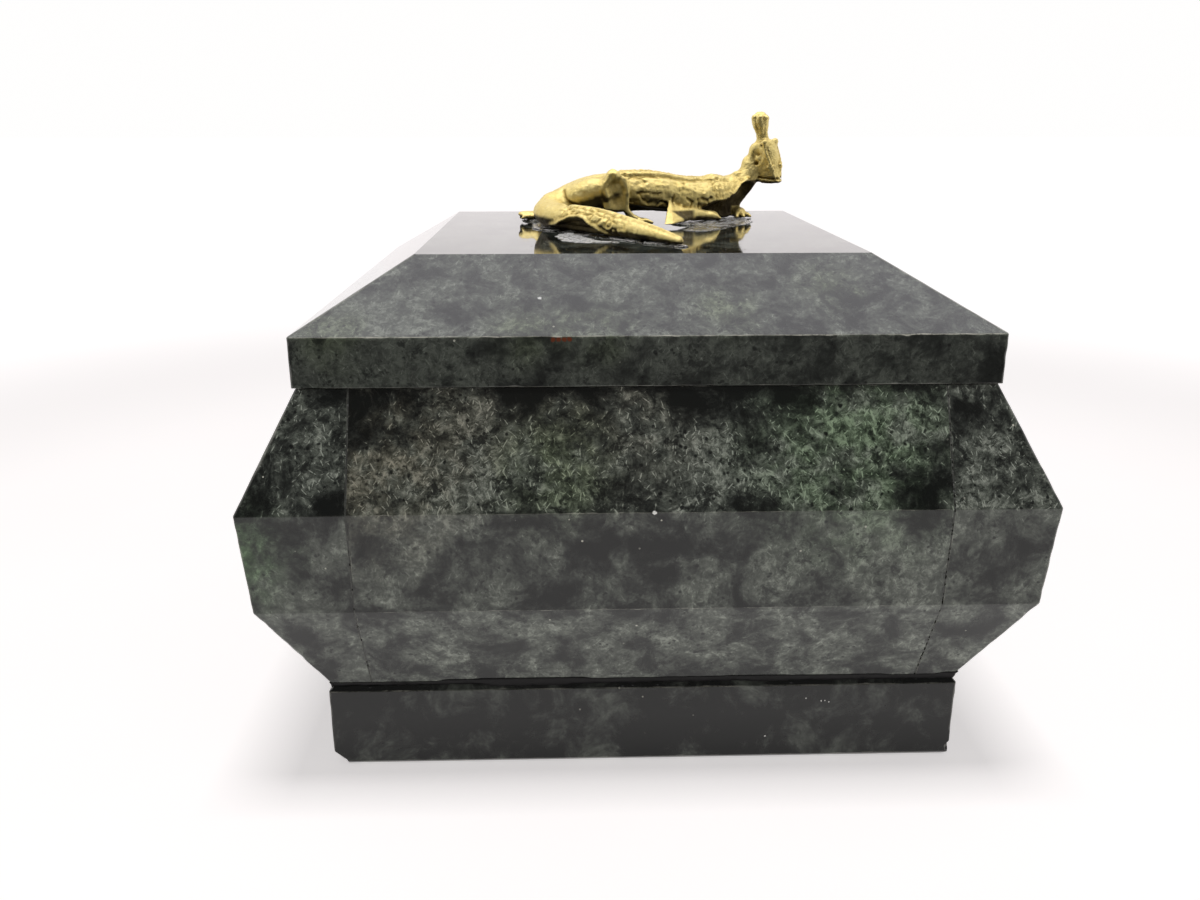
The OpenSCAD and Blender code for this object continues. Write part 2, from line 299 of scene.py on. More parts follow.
@dataclass(frozen=True)
class Serpentine:
    """Polished black-green stone with clouds of pale flakes, black blots and a few bright specks.

    Offset is the place in the stone, and gain adds pale matter. Calm holds the pattern back below the height
    lively_above, and even blends the clouds into one level below the height even_below. Lean is the slope to
    which the polish is ground out of true. Sizes are in millimetres.
    """

    name: str
    offset: Point = (0, 0, 0)
    gain: float = 0.0
    patches: tuple[Patch, ...] = ()
    stains: tuple[Stain, ...] = ()
    flecks: tuple[Fleck, ...] = ()
    calm: float = 0.0
    lively_above: float = 0.0
    even: float = 0.0
    even_below: float = 0.0
    even_level: float = 0.12
    cloud: float = 8.0
    lean: float = 0.0
    half_depth: float = 60.0
    ground: Colour = (0.008, 0.009, 0.008)
    dark: Colour = (0.03, 0.033, 0.029)
    mid: Colour = (0.11, 0.122, 0.102)
    pale: Colour = (0.36, 0.385, 0.33)
    dust: Colour = (0.62, 0.61, 0.52)
    refraction: float = 1.46
    polish: tuple[float, float] = (0.025, 0.06)
    worn_rough: float = 0.45
    grain_size: float = 1.5
    blot_gap: float = 4.4
    knot_size: float = 3.0
    pit_gap: float = 1.25
    speck_gap: float = 3.6
    flaw_gap: float = 1.9
    blade_kinds: tuple[tuple[Point, float, float], ...] = (((3, 8, 1), 1.2, 0.085), ((91, 7, 40), 0.7, 0.07))

    def material(self) -> bpy.types.Material:
        """Lay the stone's nodes.

        Returns:
            The material.
        """
        g = Graph(bpy.data.materials.new(self.name))
        at = g.place(self.offset)
        bent = g.warped(at, 3.0, 1.4)
        height = g.part(g.place(), "Z")
        calm = g.span(height, self.lively_above - 0.3, self.lively_above + 0.3, self.calm, 0)
        grain = g.span(g.noise(bent, self.grain_size, 9, 0.78, 0.35), 0.34, 0.66)
        grain = g.math("MULTIPLY", grain, g.span(calm, 0, 1, 1, 0.2))
        grain = g.math("ADD", grain, g.span(calm, 0, 1, 0, 0.42))
        value = g.math("ADD", g.math("MULTIPLY", grain, 0.88), 0.12)
        value = g.math("MULTIPLY", self.clouds(g, bent, height), value)
        value = self.spotted(g, at, value, calm)
        colour = g.ramp(value, [(0.0, self.ground), (0.14, self.dark), (0.5, self.mid), (1.0, self.pale)])
        colour = self.stained(g, at, colour, calm)
        wear = g.painted("wear")
        worn = g.math("MULTIPLY", wear, g.span(g.noise(at, 0.6, 3, 0.6), 0.32, 0.52, 0.3, 1.0))
        colour = g.mix(worn, colour, self.dust)
        dull = g.math("MULTIPLY", wear, self.worn_rough)
        rough = g.math("ADD", g.span(grain, 0.2, 0.9, *self.polish), dull)
        return g.surface(Base_Color=colour, Roughness=rough, IOR=self.refraction, Normal=self.relief(g))

    def clouds(self, g: Graph, bent: Socket, height: Socket) -> Socket:
        """Share of pale matter: drifting clouds, pushed up or down at the patches, some of which paint shade,
        and evened out low down.

        Args:
            g: Graph to add to.
            bent: Bent coordinates.
            height: Height above the table in millimetres.

        Returns:
            Value from 0 to 1.
        """
        mass = g.math("ADD", g.noise(bent, self.cloud, 8, 0.66, 0.4), self.gain)
        for patch in self.patches:
            share = g.math("MULTIPLY", self.near(g, patch.centre, patch.radius), abs(patch.gain))
            mass = g.math("ADD" if patch.gain > 0 else "SUBTRACT", mass, share)
        body = g.span(mass, 0.36, 0.64)
        even = g.span(height, self.even_below - 0.5, self.even_below, self.even, 0)
        body = g.math("MULTIPLY", body, g.math("SUBTRACT", 1.0, even))
        return g.math("ADD", body, g.math("MULTIPLY", even, self.even_level))

    def spotted(self, g: Graph, at: Socket, value: Socket, calm: Socket) -> Socket:
        """Darken knots, pits and blots in the stone and brighten thin blades.

        Args:
            g: Graph to add to.
            at: Coordinates.
            value: How pale the stone is so far.
            calm: How far the pattern is held back.

        Returns:
            How pale the stone is with its spots.
        """
        blots = g.span(g.cells(g.warped(at, 0.9, 0.7), self.blot_gap), 0.05, 0.12, 1, 0)
        knots = g.span(g.noise(g.warped(at, 1.2, 1.0), self.knot_size, 8, 0.72, 0.3), 0.5, 0.66)
        pits = g.span(g.cells(g.warped(at, 0.7, 0.5), self.pit_gap), 0.12, 0.3, 1, 0)
        pits = g.math("MULTIPLY", pits, g.span(g.noise(at, 2.6, 2, 0.5), 0.46, 0.6))
        spots = g.math("MULTIPLY", g.math("MAXIMUM", knots, pits), g.span(calm, 0, 1, 1, 0.5))
        value = g.math("MULTIPLY", value, g.span(spots, 0, 1, 1.0, 0.15))
        blades = g.math("MAXIMUM", *(self.blades(g, *kind) for kind in self.blade_kinds))
        blades = g.math("MULTIPLY", blades, g.span(calm, 0, 0.6, 1, 0.1))
        value = g.math("ADD", value, g.math("MULTIPLY", blades, g.span(value, 0.0, 0.4, 0.03, 1.1)))
        blots = g.math("MULTIPLY", blots, g.span(calm, 0, 1, 1, 0.3))
        return g.math("MULTIPLY", value, g.span(blots, 0, 1, 1, 0.05))

    def stained(self, g: Graph, at: Socket, colour: Socket, calm: Socket) -> Socket:
        """Tint the stone at its stains, and set specks and flecks into it.

        Args:
            g: Graph to add to.
            at: Coordinates.
            colour: Colour of the stone so far.
            calm: How far the pattern is held back.

        Returns:
            The stone's colour.
        """
        for stain in self.stains:
            share = g.math("MULTIPLY", self.near(g, stain.centre, stain.radius), stain.strength)
            share = g.math("MULTIPLY", share, g.span(g.noise(at, 4.0, 4, 0.6), 0.35, 0.6, 0.3, 1.0))
            colour = g.mix(share, colour, g.mix(1.0, colour, stain.colour, "MULTIPLY"))
        specks = g.cells(g.place((self.offset[0] + 31, 17, 5)), self.speck_gap)
        rare = g.math("MULTIPLY", g.span(g.noise(at, 7.0, 2, 0.5), 0.46, 0.56), g.span(calm, 0, 1, 1, 0.45))
        colour = g.mix(g.math("MULTIPLY", g.span(specks, 0.035, 0.055, 1, 0), rare), colour, self.dust)
        for fleck in self.flecks:
            far = g.vector("DISTANCE", g.warped(g.place(), 0.5, 0.5), tuple(c + 0.25 for c in fleck.centre))
            colour = g.mix(g.span(far, 0.6 * fleck.radius, fleck.radius, 1, 0), colour, fleck.colour)
        return colour

    def relief(self, g: Graph) -> Socket:
        """Normal of the polish, with small flaws, leaned back as far as the stone is ground out of true.

        Args:
            g: Graph to add to.

        Returns:
            Normal.
        """
        flaws = g.span(g.cells(g.place((self.offset[0] + 13, 5, 9)), self.flaw_gap), 0.04, 0.12, 0, 1)
        normal = g.bump(flaws, 0.02, 0.4)
        if self.lean:
            depth = g.part(g.place((0, self.half_depth, 0)), "Y")
            fall = g.math("SUBTRACT", 1.0, g.math("DIVIDE", depth, 2 * self.half_depth))
            normal = g.bump(fall, 2 * self.half_depth * self.lean, 1.0, normal)
        return normal

    def blades(self, g: Graph, shift: Point, size: float, thick: float) -> Socket:
        """Thin flat crystals, each at its own tilt, which a cut face shows as short straight lines.

        Args:
            g: Graph to add to.
            shift: Place in the pattern.
            size: Distance from one crystal to the next in millimetres.
            thick: Thickness of the crystals.

        Returns:
            Value from 0 beside the crystals to 1 in them.
        """
        at = g.place(tuple(one + two for one, two in zip(self.offset, shift)))
        grid = g.node("ShaderNodeTexVoronoi", Vector=at, Scale=1.0 / size)
        off = g.vector("SUBTRACT", at, grid.outputs["Position"])
        way = g.vector("NORMALIZE", g.vector("SUBTRACT", grid.outputs["Color"], (0.5, 0.5, 0.5)))
        gap = g.math("ABSOLUTE", g.vector("DOT_PRODUCT", off, way))
        inside = g.span(g.vector("LENGTH", off), 0.25 * size, 0.7 * size, 1, 0)
        inside = g.math("MULTIPLY", inside, g.span(g.part(grid.outputs["Color"], "X"), 0.45, 0.95))
        return g.math("MULTIPLY", g.span(gap, 0.3 * thick, thick, 1, 0), inside)

    def near(self, g: Graph, centre: Point, radius: float) -> Socket:
        """Value that falls from 1 at a place to 0 at a radius round it, in millimetres."""
        far = g.vector("DISTANCE", g.warped(g.place(), 6.0, 5.0), tuple(c + 2.5 for c in centre))
        return g.span(far, 0.15 * radius, radius, 1, 0)


@dataclass(frozen=True)
class CastBrass:
    """Satin cast brass with brown in its hollows, and painted shade that darkens its undersides."""

    name: str = "cast_brass"
    bright: Colour = (0.78, 0.645, 0.27)
    deep: Colour = (0.7, 0.54, 0.17)
    brown: Colour = (0.29, 0.19, 0.035)
    # Near black of the painted shade on the undersides and below the folds.
    painted_shade: Colour = (0.03, 0.022, 0.016)

    def material(self) -> bpy.types.Material:
        """Lay the brass's nodes.

        Returns:
            The material.
        """
        g = Graph(bpy.data.materials.new(self.name))
        at = g.place()
        patches = g.noise(at, 3.2, 4, 0.6)
        grain = g.noise(at, 0.4, 4, 0.65)
        hollow = g.math("MULTIPLY", g.painted("hollow"), g.span(patches, 0.25, 0.6, 0.75, 1))
        # Painted shade: the undersides and the skin below the folds are darkened towards near black.
        under = g.math("MULTIPLY", g.painted("under"), g.span(patches, 0.3, 0.7, 0.97, 0.85))
        colour = g.mix(g.span(patches, 0.35, 0.7, 0, 0.45), self.bright, self.deep)
        colour = g.mix(hollow, colour, self.brown)
        colour = g.mix(under, colour, self.painted_shade)
        rough = g.math("ADD", g.span(grain, 0.3, 0.7, 0.42, 0.58), g.math("MULTIPLY", hollow, 0.2))
        scales = g.span(g.cells(at, 0.34), 0.0, 0.6, 1, 0)
        scales = g.math("MULTIPLY", scales, g.painted("scales"))
        dents = g.bump(g.noise(at, 1.1, 3, 0.55), 0.26, 0.8)
        normal = g.bump(scales, 0.05, 0.6, g.bump(grain, 0.06, 0.8, dents))
        return g.surface(Base_Color=colour, Metallic=1.0, Roughness=rough, Normal=normal)


@dataclass(frozen=True)
class RolledBrass:
    """Satin brass sheet and wire, dulled a little."""

    name: str = "rolled_brass"
    colour: Colour = (0.75, 0.55, 0.2)
    tarnished: Colour = (0.42, 0.27, 0.08)

    def material(self) -> bpy.types.Material:
        """Lay the brass's nodes.

        Returns:
            The material.
        """
        g = Graph(bpy.data.materials.new(self.name))
        streaks = g.noise(g.place(stretch=(0.12, 1, 1)), 0.35, 3, 0.6)
        tarnish = g.noise(g.place((3, 1, 2)), 2.2, 4, 0.6)
        colour = g.mix(g.span(tarnish, 0.45, 0.75, 0, 0.6), self.colour, self.tarnished)
        rough = g.span(streaks, 0.3, 0.7, 0.24, 0.4)
        return g.surface(Base_Color=colour, Metallic=1.0, Roughness=rough, Normal=g.bump(streaks, 0.01, 0.4))


@dataclass(frozen=True)
class BlackMastic:
    """Black sealing compound with a skin."""

    name: str = "black_mastic"
    black: Colour = (0.004, 0.004, 0.004)
    skin: Colour = (0.016, 0.015, 0.015)
    shine: float = 0.2

    def material(self) -> bpy.types.Material:
        """Lay the mastic's nodes.

        Returns:
            The material.
        """
        g = Graph(bpy.data.materials.new(self.name))
        lumps = g.noise(g.place(), 1.1, 5, 0.6)
        colour = g.ramp(lumps, [(0.3, self.black), (0.75, self.skin)])
        rough = g.span(lumps, 0.3, 0.7, 0.4, 0.65)
        return g.surface(Base_Color=colour, Roughness=rough, Specular_IOR_Level=self.shine,
                         Normal=g.bump(lumps, 0.08, 0.7))


@dataclass(frozen=True)
class SetGlue:
    """Hard glue in the corner joints, filled with stone dust."""

    name: str = "set_glue"
    dark: Colour = (0.03, 0.031, 0.028)
    filled: Colour = (0.05, 0.053, 0.046)
    dusty: Colour = (0.16, 0.16, 0.14)

    def material(self) -> bpy.types.Material:
        """Lay the glue's nodes.

        Returns:
            The material.
        """
        g = Graph(bpy.data.materials.new(self.name))
        dust = g.noise(g.place(), 0.7, 5, 0.65)
        colour = g.ramp(dust, [(0.35, self.dark), (0.55, self.filled), (0.72, self.dusty)])
        return g.surface(Base_Color=colour, Roughness=g.span(dust, 0.3, 0.7, 0.3, 0.6),
                         Normal=g.bump(dust, 0.08, 0.6))


@dataclass(frozen=True)
class ClearGlue:
    """Clear glossy glue with frosted places and bright bubbles."""

    name: str = "clear_glue"
    frost: Colour = (0.82, 0.81, 0.8)
    clear: Colour = (0.8, 0.78, 0.75)
    bubble: Colour = (0.95, 0.95, 0.94)
    refraction: float = 1.46

    def material(self) -> bpy.types.Material:
        """Lay the glue's nodes.

        Returns:
            The material.
        """
        g = Graph(bpy.data.materials.new(self.name))
        at = g.place()
        frost = g.span(g.noise(g.warped(at, 1.5, 1.0), 3.0, 5, 0.65), 0.44, 0.56)
        frost = g.math("MAXIMUM", g.math("MULTIPLY", frost, 0.6), g.painted("frost"))
        frost = g.math("MULTIPLY", frost, g.span(g.noise(at, 0.8, 3, 0.6), 0.3, 0.55, 0.4, 1))
        bubbles = g.span(g.cells(g.warped(at, 0.5, 0.25), 0.95), 0.14, 0.22, 1, 0)
        bubbles = g.math("MULTIPLY", bubbles, g.span(g.noise(g.place((9, 4, 2)), 1.6, 2, 0.5), 0.5, 0.6))
        milky = g.math("MAXIMUM", frost, bubbles)
        colour = g.mix(bubbles, g.mix(frost, self.clear, self.frost), self.bubble)
        ripple = g.math("MULTIPLY", g.noise(at, 0.35, 3, 0.6), milky)
        normal = g.bump(ripple, 0.2, 0.8, g.bump(g.noise(at, 1.3, 3, 0.5), 0.1, 0.5))
        return g.surface(Base_Color=colour, Roughness=g.span(milky, 0, 1, 0.04, 0.3), IOR=self.refraction,
                         Transmission_Weight=g.span(milky, 0, 1, 1, 0), Normal=normal)


def linked(name: str, data: bpy.types.ID) -> bpy.types.Object:
    """Put a mesh, a camera or a light into the scene as an object.

    Args:
        name: Name of the object.
        data: What it shows.

    Returns:
        The new object, at the origin.
    """
    made = bpy.data.objects.new(name, data)
    bpy.context.scene.collection.objects.link(made)
    return made


def link_mesh(name: str, points: Sequence, faces: Sequence) -> bpy.types.Object:
    """Make an object from points and faces.

    Args:
        name: Name of the object.
        points: Points in millimetres.
        faces: Loops of point numbers.

    Returns:
        The new object, at the origin.
    """
    mesh = bpy.data.meshes.new(name)
    mesh.from_pydata([tuple(float(c) * MM for c in p) for p in points], [], [tuple(f) for f in faces])
    mesh.update()
    return linked(name, mesh)


def dress(made: bpy.types.Object, material: bpy.types.Material, body: Body, node: str) -> None:
    """Give a piece its finish, its body and the CAD node that it stands for.

    Args:
        made: The piece.
        material: Its finish.
        body: Body that it moves with.
        node: CAD node that it stands for.
    """
    made.data.materials.clear()
    made.data.materials.append(material)
    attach(made, body.value)
    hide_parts(node)
    LOG.info("%s: %d faces", made.name, len(made.data.polygons))


def painted(made: bpy.types.Object, name: str, values: Sequence[float]) -> None:
    """Paint a value on each point of a piece, under a name that its finish asks for."""
    layer = made.data.attributes.new(name, "FLOAT", "POINT")
    layer.data.foreach_set("value", np.asarray(values, np.float32))


def all_smooth(made: bpy.types.Object) -> None:
    """Shade all faces of a piece smooth."""
    made.data.polygons.foreach_set("use_smooth", np.ones(len(made.data.polygons), bool))


def settled(made: bpy.types.Object) -> None:
    """Apply all modifiers of a piece to its mesh.

    Args:
        made: The piece.
    """
    bpy.context.view_layer.update()
    seen = made.evaluated_get(bpy.context.evaluated_depsgraph_get())
    mesh = bpy.data.meshes.new_from_object(seen)
    made.modifiers.clear()
    made.data = mesh


def turn_out(made: bpy.types.Object) -> None:
    """Make all faces of a piece look outwards.

    Args:
        made: The piece.
    """
    shell = bmesh.new()
    shell.from_mesh(made.data)
    bmesh.ops.recalc_face_normals(shell, faces=shell.faces)
    shell.to_mesh(made.data)
    shell.free()


def smooth_line(rng: np.random.Generator, count: int, spacing: int) -> np.ndarray:
    """Give a row of smooth random values.

    Args:
        rng: Source of chance.
        count: Number of values.
        spacing: Number of values from one random value to the next.

    Returns:
        Values from -1 to 1.
    """
    knots = rng.uniform(-1, 1, count // spacing + 3)
    at = np.arange(count) / spacing
    low = at.astype(int)
    share = at - low
    share = share * share * (3 - 2 * share)
    return knots[low] * (1 - share) + knots[low + 1] * share


def stepped_line(rng: np.random.Generator, count: int, spacing: int) -> np.ndarray:
    """Give a row of random values that hold for a while and then change quickly.

    Args:
        rng: Source of chance.
        count: Number of values.
        spacing: Usual number of values from one change to the next.

    Returns:
        Values from 0 to 1.
    """
    row = np.empty(0)
    while len(row) < count:
        row = np.concatenate([row, np.full(rng.integers(spacing // 3, 2 * spacing), rng.uniform() ** 1.5)])
    return np.convolve(row[:count], np.ones(4) / 4, mode="same")


@dataclass(frozen=True)
class Chip:
    """A place where stone has broken away along a hollow face, cut with a rough ball."""

    centre: Point
    radius: float


@dataclass(frozen=True)
class ArrisWear:
    """How an arris is rounded and nicked, in millimetres."""

    width: float = 0.16
    nick: float = 0.16
    nicks_per_mm: float = 0.07
    paleness: float = 0.25


BAND_WEAR = ArrisWear(0.08, 0.05, 0.03, 0.06)
HIP_WEAR = ArrisWear(0.4, 0.15, 0.1, 0.3)
JOINT_WEAR = ArrisWear(0.05, 0.1, 0.25, 0.3)


@dataclass
class WornSkin:
    """A stone block's skin in the making.

    It holds points and how pale each is, faces and whether each is a flat, and the numbers of the points at
    each face's corners, along each side of a face and along each arris.
    """

    points: list[np.ndarray] = field(default_factory=list)
    paint: list[float] = field(default_factory=list)
    faces: list[list[int]] = field(default_factory=list)
    flat: list[bool] = field(default_factory=list)
    corners: dict[tuple[int, int], int] = field(default_factory=dict)
    sides: dict[tuple[int, int], list[int]] = field(default_factory=dict)
    ridges: dict[int, list[int]] = field(default_factory=dict)

    def point(self, place: np.ndarray, pale: float = 0.0) -> int:
        """Add a point and return its number."""
        self.points.append(place)
        self.paint.append(pale)
        return len(self.points) - 1

    def face(self, loop: list[int], flat: bool = False) -> None:
        """Add a face."""
        self.faces.append(loop)
        self.flat.append(flat)


def inward(edge: bmesh.types.BMEdge, face: bmesh.types.BMFace) -> np.ndarray:
    """Direction in a face's plane that leads away from one of its arrises.

    Args:
        edge: The arris.
        face: The face.

    Returns:
        Unit vector.
    """
    run = np.array(edge.verts[1].co - edge.verts[0].co)
    way = np.cross(np.array(face.normal), run)
    way /= np.linalg.norm(way)
    middle = np.array(face.calc_center_median() - edge.verts[0].co)
    return way if way @ middle > 0 else -way


@dataclass
class StoneBlock:
    """A flat-faced stone block whose arrises are ground round and nicked, in millimetres."""

    name: str
    node: str
    finish: Serpentine
    body: Body
    seed: int
    wear: ArrisWear = ArrisWear()
    top_wear: ArrisWear | None = None
    chips: tuple[Chip, ...] = ()
    step: float = 0.4
    joint_at: float = 44.0
    pockets: tuple[tuple[Point, Point], ...] = ()
    chip_roughness: float = 0.25
    chip_grain: float = 0.9
    nick_halves: tuple[float, float] = (0.4, 1.3)
    ridge_bow: float = 0.42
    broken_bow: float = -0.05
    end_fade: float = 1.5
    joint_reach: float = 0.15
    band_angle: float = 35.0
    hip_rise: float = 5.0

    def build(self) -> None:
        """Build and dress the block."""
        shell = self.hull()
        skin = self.worn(shell)
        shell.free()
        made = link_mesh(self.name, skin.points, skin.faces)
        for polygon, flat in zip(made.data.polygons, skin.flat):
            polygon.use_smooth = not flat
        painted(made, "wear", skin.paint)
        turn_out(made)
        for low, high in self.pockets:
            self.cut_pocket(made, Vector(low), Vector(high))
        for chip in self.chips:
            self.cut_chip(made, chip)
        dress(made, self.finish.material(), self.body, self.node)

    def cut_pocket(self, made: bpy.types.Object, low: Vector, high: Vector) -> None:
        """Cut a square-cornered box out of the block.

        Args:
            made: The block.
            low: Lowest corner of the box.
            high: Highest corner of the box.
        """
        box = bmesh.new()
        bmesh.ops.create_cube(box, size=1.0)
        size = Matrix.Diagonal((*(high - low), 1))
        bmesh.ops.transform(box, matrix=Matrix.Translation((low + high) / 2) @ size, verts=box.verts)
        self.cut(made, box)

    def cut_chip(self, made: bpy.types.Object, chip: Chip) -> None:
        """Cut a chip out of the block with a rough ball.

        Args:
            made: The block.
            chip: The chip.
        """
        ball = bmesh.new()
        bmesh.ops.create_icosphere(ball, subdivisions=5, radius=chip.radius)
        for vertex in ball.verts:
            vertex.co *= 1 + self.chip_roughness / chip.radius * noise.noise(vertex.co * self.chip_grain)
        bmesh.ops.translate(ball, vec=chip.centre, verts=ball.verts)
        for face in ball.faces:
            face.smooth = True
        self.cut(made, ball)

    def hull(self) -> bmesh.types.BMesh:
        """Take the block's flat faces from its CAD node.

        Returns:
            Convex shell in millimetres, with one face for each flat.
        """
        shell = bmesh.new()
        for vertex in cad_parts[self.node].data.vertices:
            shell.verts.new(vertex.co / MM)
        bmesh.ops.remove_doubles(shell, verts=shell.verts, dist=1e-3)
        result = bmesh.ops.convex_hull(shell, input=shell.verts)
        inner = result["geom_interior"] + result["geom_unused"]
        spare = {v for v in inner if isinstance(v, bmesh.types.BMVert)}
        bmesh.ops.delete(shell, geom=list(spare), context="VERTS")
        bmesh.ops.dissolve_limit(shell, angle_limit=math.radians(0.5), verts=shell.verts, edges=shell.edges)
        bmesh.ops.recalc_face_normals(shell, faces=shell.faces)
        shell.verts.index_update()
        shell.edges.index_update()
        shell.faces.index_update()
        return shell

    def rule_for(self, edge: bmesh.types.BMEdge) -> ArrisWear:
        """Choose the wear of an arris: glue joint, meeting bands, upright hip, rim of a lid or any other.

        Args:
            edge: The arris.

        Returns:
            Its wear.
        """
        if all(abs(abs(v.co.x) - self.joint_at) < self.joint_reach for v in edge.verts):
            return JOINT_WEAR
        if edge.calc_face_angle() < math.radians(self.band_angle):
            return BAND_WEAR
        rise = abs(edge.verts[0].co.z - edge.verts[1].co.z)
        if rise > self.hip_rise:
            return HIP_WEAR
        if self.top_wear is None:
            return self.wear
        slopes = sorted(f.normal.z for f in edge.link_faces)
        on_rim = rise < 0.01 and abs(slopes[0]) < 0.1 and 0.2 < slopes[1] < 0.99
        return self.top_wear if on_rim else self.wear

    def worn(self, shell: bmesh.types.BMesh) -> WornSkin:
        """Round and nick the arrises.

        Args:
            shell: Flat-faced shell.

        Returns:
            The worn skin.
        """
        rng = np.random.default_rng(self.seed)
        skin = WornSkin()
        for face in shell.faces:
            for loop in face.loops:
                skin.corners[face.index, loop.vert.index] = skin.point(self.inset(loop))
        for edge in shell.edges:
            self.wear_arris(edge, skin, rng)
        for face in shell.faces:
            self.lay_face(face, skin)
        for vertex in shell.verts:
            self.close_corner(vertex, skin)
        return skin

    def inset(self, loop: bmesh.types.BMLoop) -> np.ndarray:
        """Place of a face's corner when its two arrises are ground off.

        Args:
            loop: The corner.

        Returns:
            The place in millimetres.
        """
        before, after = loop.link_loop_prev.edge, loop.edge
        one, two = inward(before, loop.face), inward(after, loop.face)
        dot = float(one @ two)
        widths = np.array([self.rule_for(before).width, self.rule_for(after).width])
        share = np.linalg.solve(np.array([[1, dot], [dot, 1]]), widths)
        return np.array(loop.vert.co) + share[0] * one + share[1] * two

    def wear_arris(self, edge: bmesh.types.BMEdge, skin: WornSkin, rng: np.random.Generator) -> None:
        """Lay a worn line on each face beside an arris, and the ridge between them.

        Args:
            edge: The arris.
            skin: Skin to add to.
            rng: Source of chance.
        """
        rule = self.rule_for(edge)
        start, end = (np.array(v.co) for v in edge.verts)
        length = float(np.linalg.norm(end - start))
        along = np.linspace(0, 1, max(2, int(length / self.step)) + 1)
        rows = []
        for face in edge.link_faces:
            first, last = (skin.corners[face.index, v.index] for v in edge.verts)
            line = skin.points[first] + (skin.points[last] - skin.points[first]) * along[:, None]
            line = line + self.nicks(rule, along, length, rng)[:, None] * inward(edge, face)
            skin.sides[edge.index, face.index] = [first, *[skin.point(p) for p in line[1:-1]], last]
            rows.append(line)
        chord = (rows[0] + rows[1]) / 2
        run = (end - start) / length
        foot = start + ((chord - start) @ run)[:, None] * run
        broken = np.linalg.norm(rows[0] - rows[1], axis=1)
        broken = np.clip((broken - 1.6 * rule.width) / (1.5 * rule.width), 0, 1)
        bow = (self.ridge_bow * (1 - broken) + self.broken_bow * broken)[:, None]
        ridge = chord + (foot - chord) * bow
        pale = rule.paleness * (0.5 + 0.5 * smooth_line(rng, len(along), 9) + 0.6 * broken)
        skin.ridges[edge.index] = [skin.point(p, q) for p, q in zip(ridge, np.clip(pale, 0, 1))]

    def nicks(self, rule: ArrisWear, along: np.ndarray, length: float,
              rng: np.random.Generator) -> np.ndarray:
        """Say how far an arris is worn into one of its faces.

        Args:
            rule: Wear of the arris.
            along: Places along it, from 0 to 1.
            length: Its length.
            rng: Source of chance.

        Returns:
            Depth at each place, which fades out at the ends.
        """
        worn = 0.35 * rule.width * smooth_line(rng, len(along), 4)
        for _ in range(rng.poisson(rule.nicks_per_mm * length)):
            middle = rng.uniform(0, length)
            half = rng.uniform(*self.nick_halves)
            dip = np.clip(1 - ((along * length - middle) / half) ** 2, 0, None)
            worn += rng.uniform(0.2, 1) * rule.nick * dip
        return worn * np.clip(np.minimum(along, 1 - along) * length / self.end_fade, 0, 1)

    def lay_face(self, face: bmesh.types.BMFace, skin: WornSkin) -> None:
        """Lay a flat, and strips from its sides to the ridges.

        Args:
            face: Face of the shell.
            skin: Skin to add to.
        """
        outline: list[int] = []
        for loop in face.loops:
            way = 1 if loop.edge.verts[0] == loop.vert else -1
            side = skin.sides[loop.edge.index, face.index][::way]
            ridge = skin.ridges[loop.edge.index][::way]
            outline += side[:-1]
            for i in range(len(side) - 1):
                skin.face([side[i + 1], side[i], ridge[i], ridge[i + 1]])
        skin.face(outline, flat=True)

    def close_corner(self, vertex: bmesh.types.BMVert, skin: WornSkin) -> None:
        """Close the skin at a corner of the block with a fan of small faces.

        Args:
            vertex: Corner of the shell.
            skin: Skin to add to.
        """
        ring: list[int] = []
        loop = vertex.link_loops[0]
        for _ in vertex.link_loops:
            ring.append(skin.corners[loop.face.index, vertex.index])
            edge = loop.link_loop_prev.edge
            ring.append(skin.ridges[edge.index][0 if edge.verts[0] == vertex else -1])
            loop = loop.link_loop_prev.link_loop_radial_next
        mean = np.mean([skin.points[i] for i in ring], axis=0)
        middle = skin.point(mean * 0.7 + 0.3 * np.array(vertex.co))
        for one, two in zip(ring, ring[1:] + ring[:1]):
            skin.face([one, two, middle])

    def cut(self, made: bpy.types.Object, shape: bmesh.types.BMesh) -> None:
        """Cut a shape out of a piece.

        Args:
            made: Piece to cut.
            shape: Closed shape in millimetres, which is freed.
        """
        bmesh.ops.scale(shape, vec=(MM, MM, MM), verts=shape.verts)
        mesh = bpy.data.meshes.new("cutter")
        shape.to_mesh(mesh)
        shape.free()
        tool = linked("cutter", mesh)
        knife = made.modifiers.new("cut", "BOOLEAN")
        knife.operation = "DIFFERENCE"
        knife.solver = "EXACT"
        knife.object = tool
        settled(made)
        bpy.data.objects.remove(tool)


@dataclass(frozen=True)
class Lump:
    """An ellipsoid of clay, added or carved out, with its half sizes, its blend and its turn in degrees."""

    centre: Point
    radii: Point
    blend: float
    turn: Point = (0, 0, 0)
    carve: bool = False


@dataclass(frozen=True)
class Rod:
    """A rounded bar of clay along a smooth row of stations, with the width of its blend."""

    stations: tuple[Station, ...]
    blend: float


@dataclass(frozen=True)
class Block:
    """A flat-sided piece of clay that spans some corners, with the radius of its edges and its blend."""

    corners: tuple[Point, ...]
    rounding: float
    blend: float


Form = Lump | Rod | Block


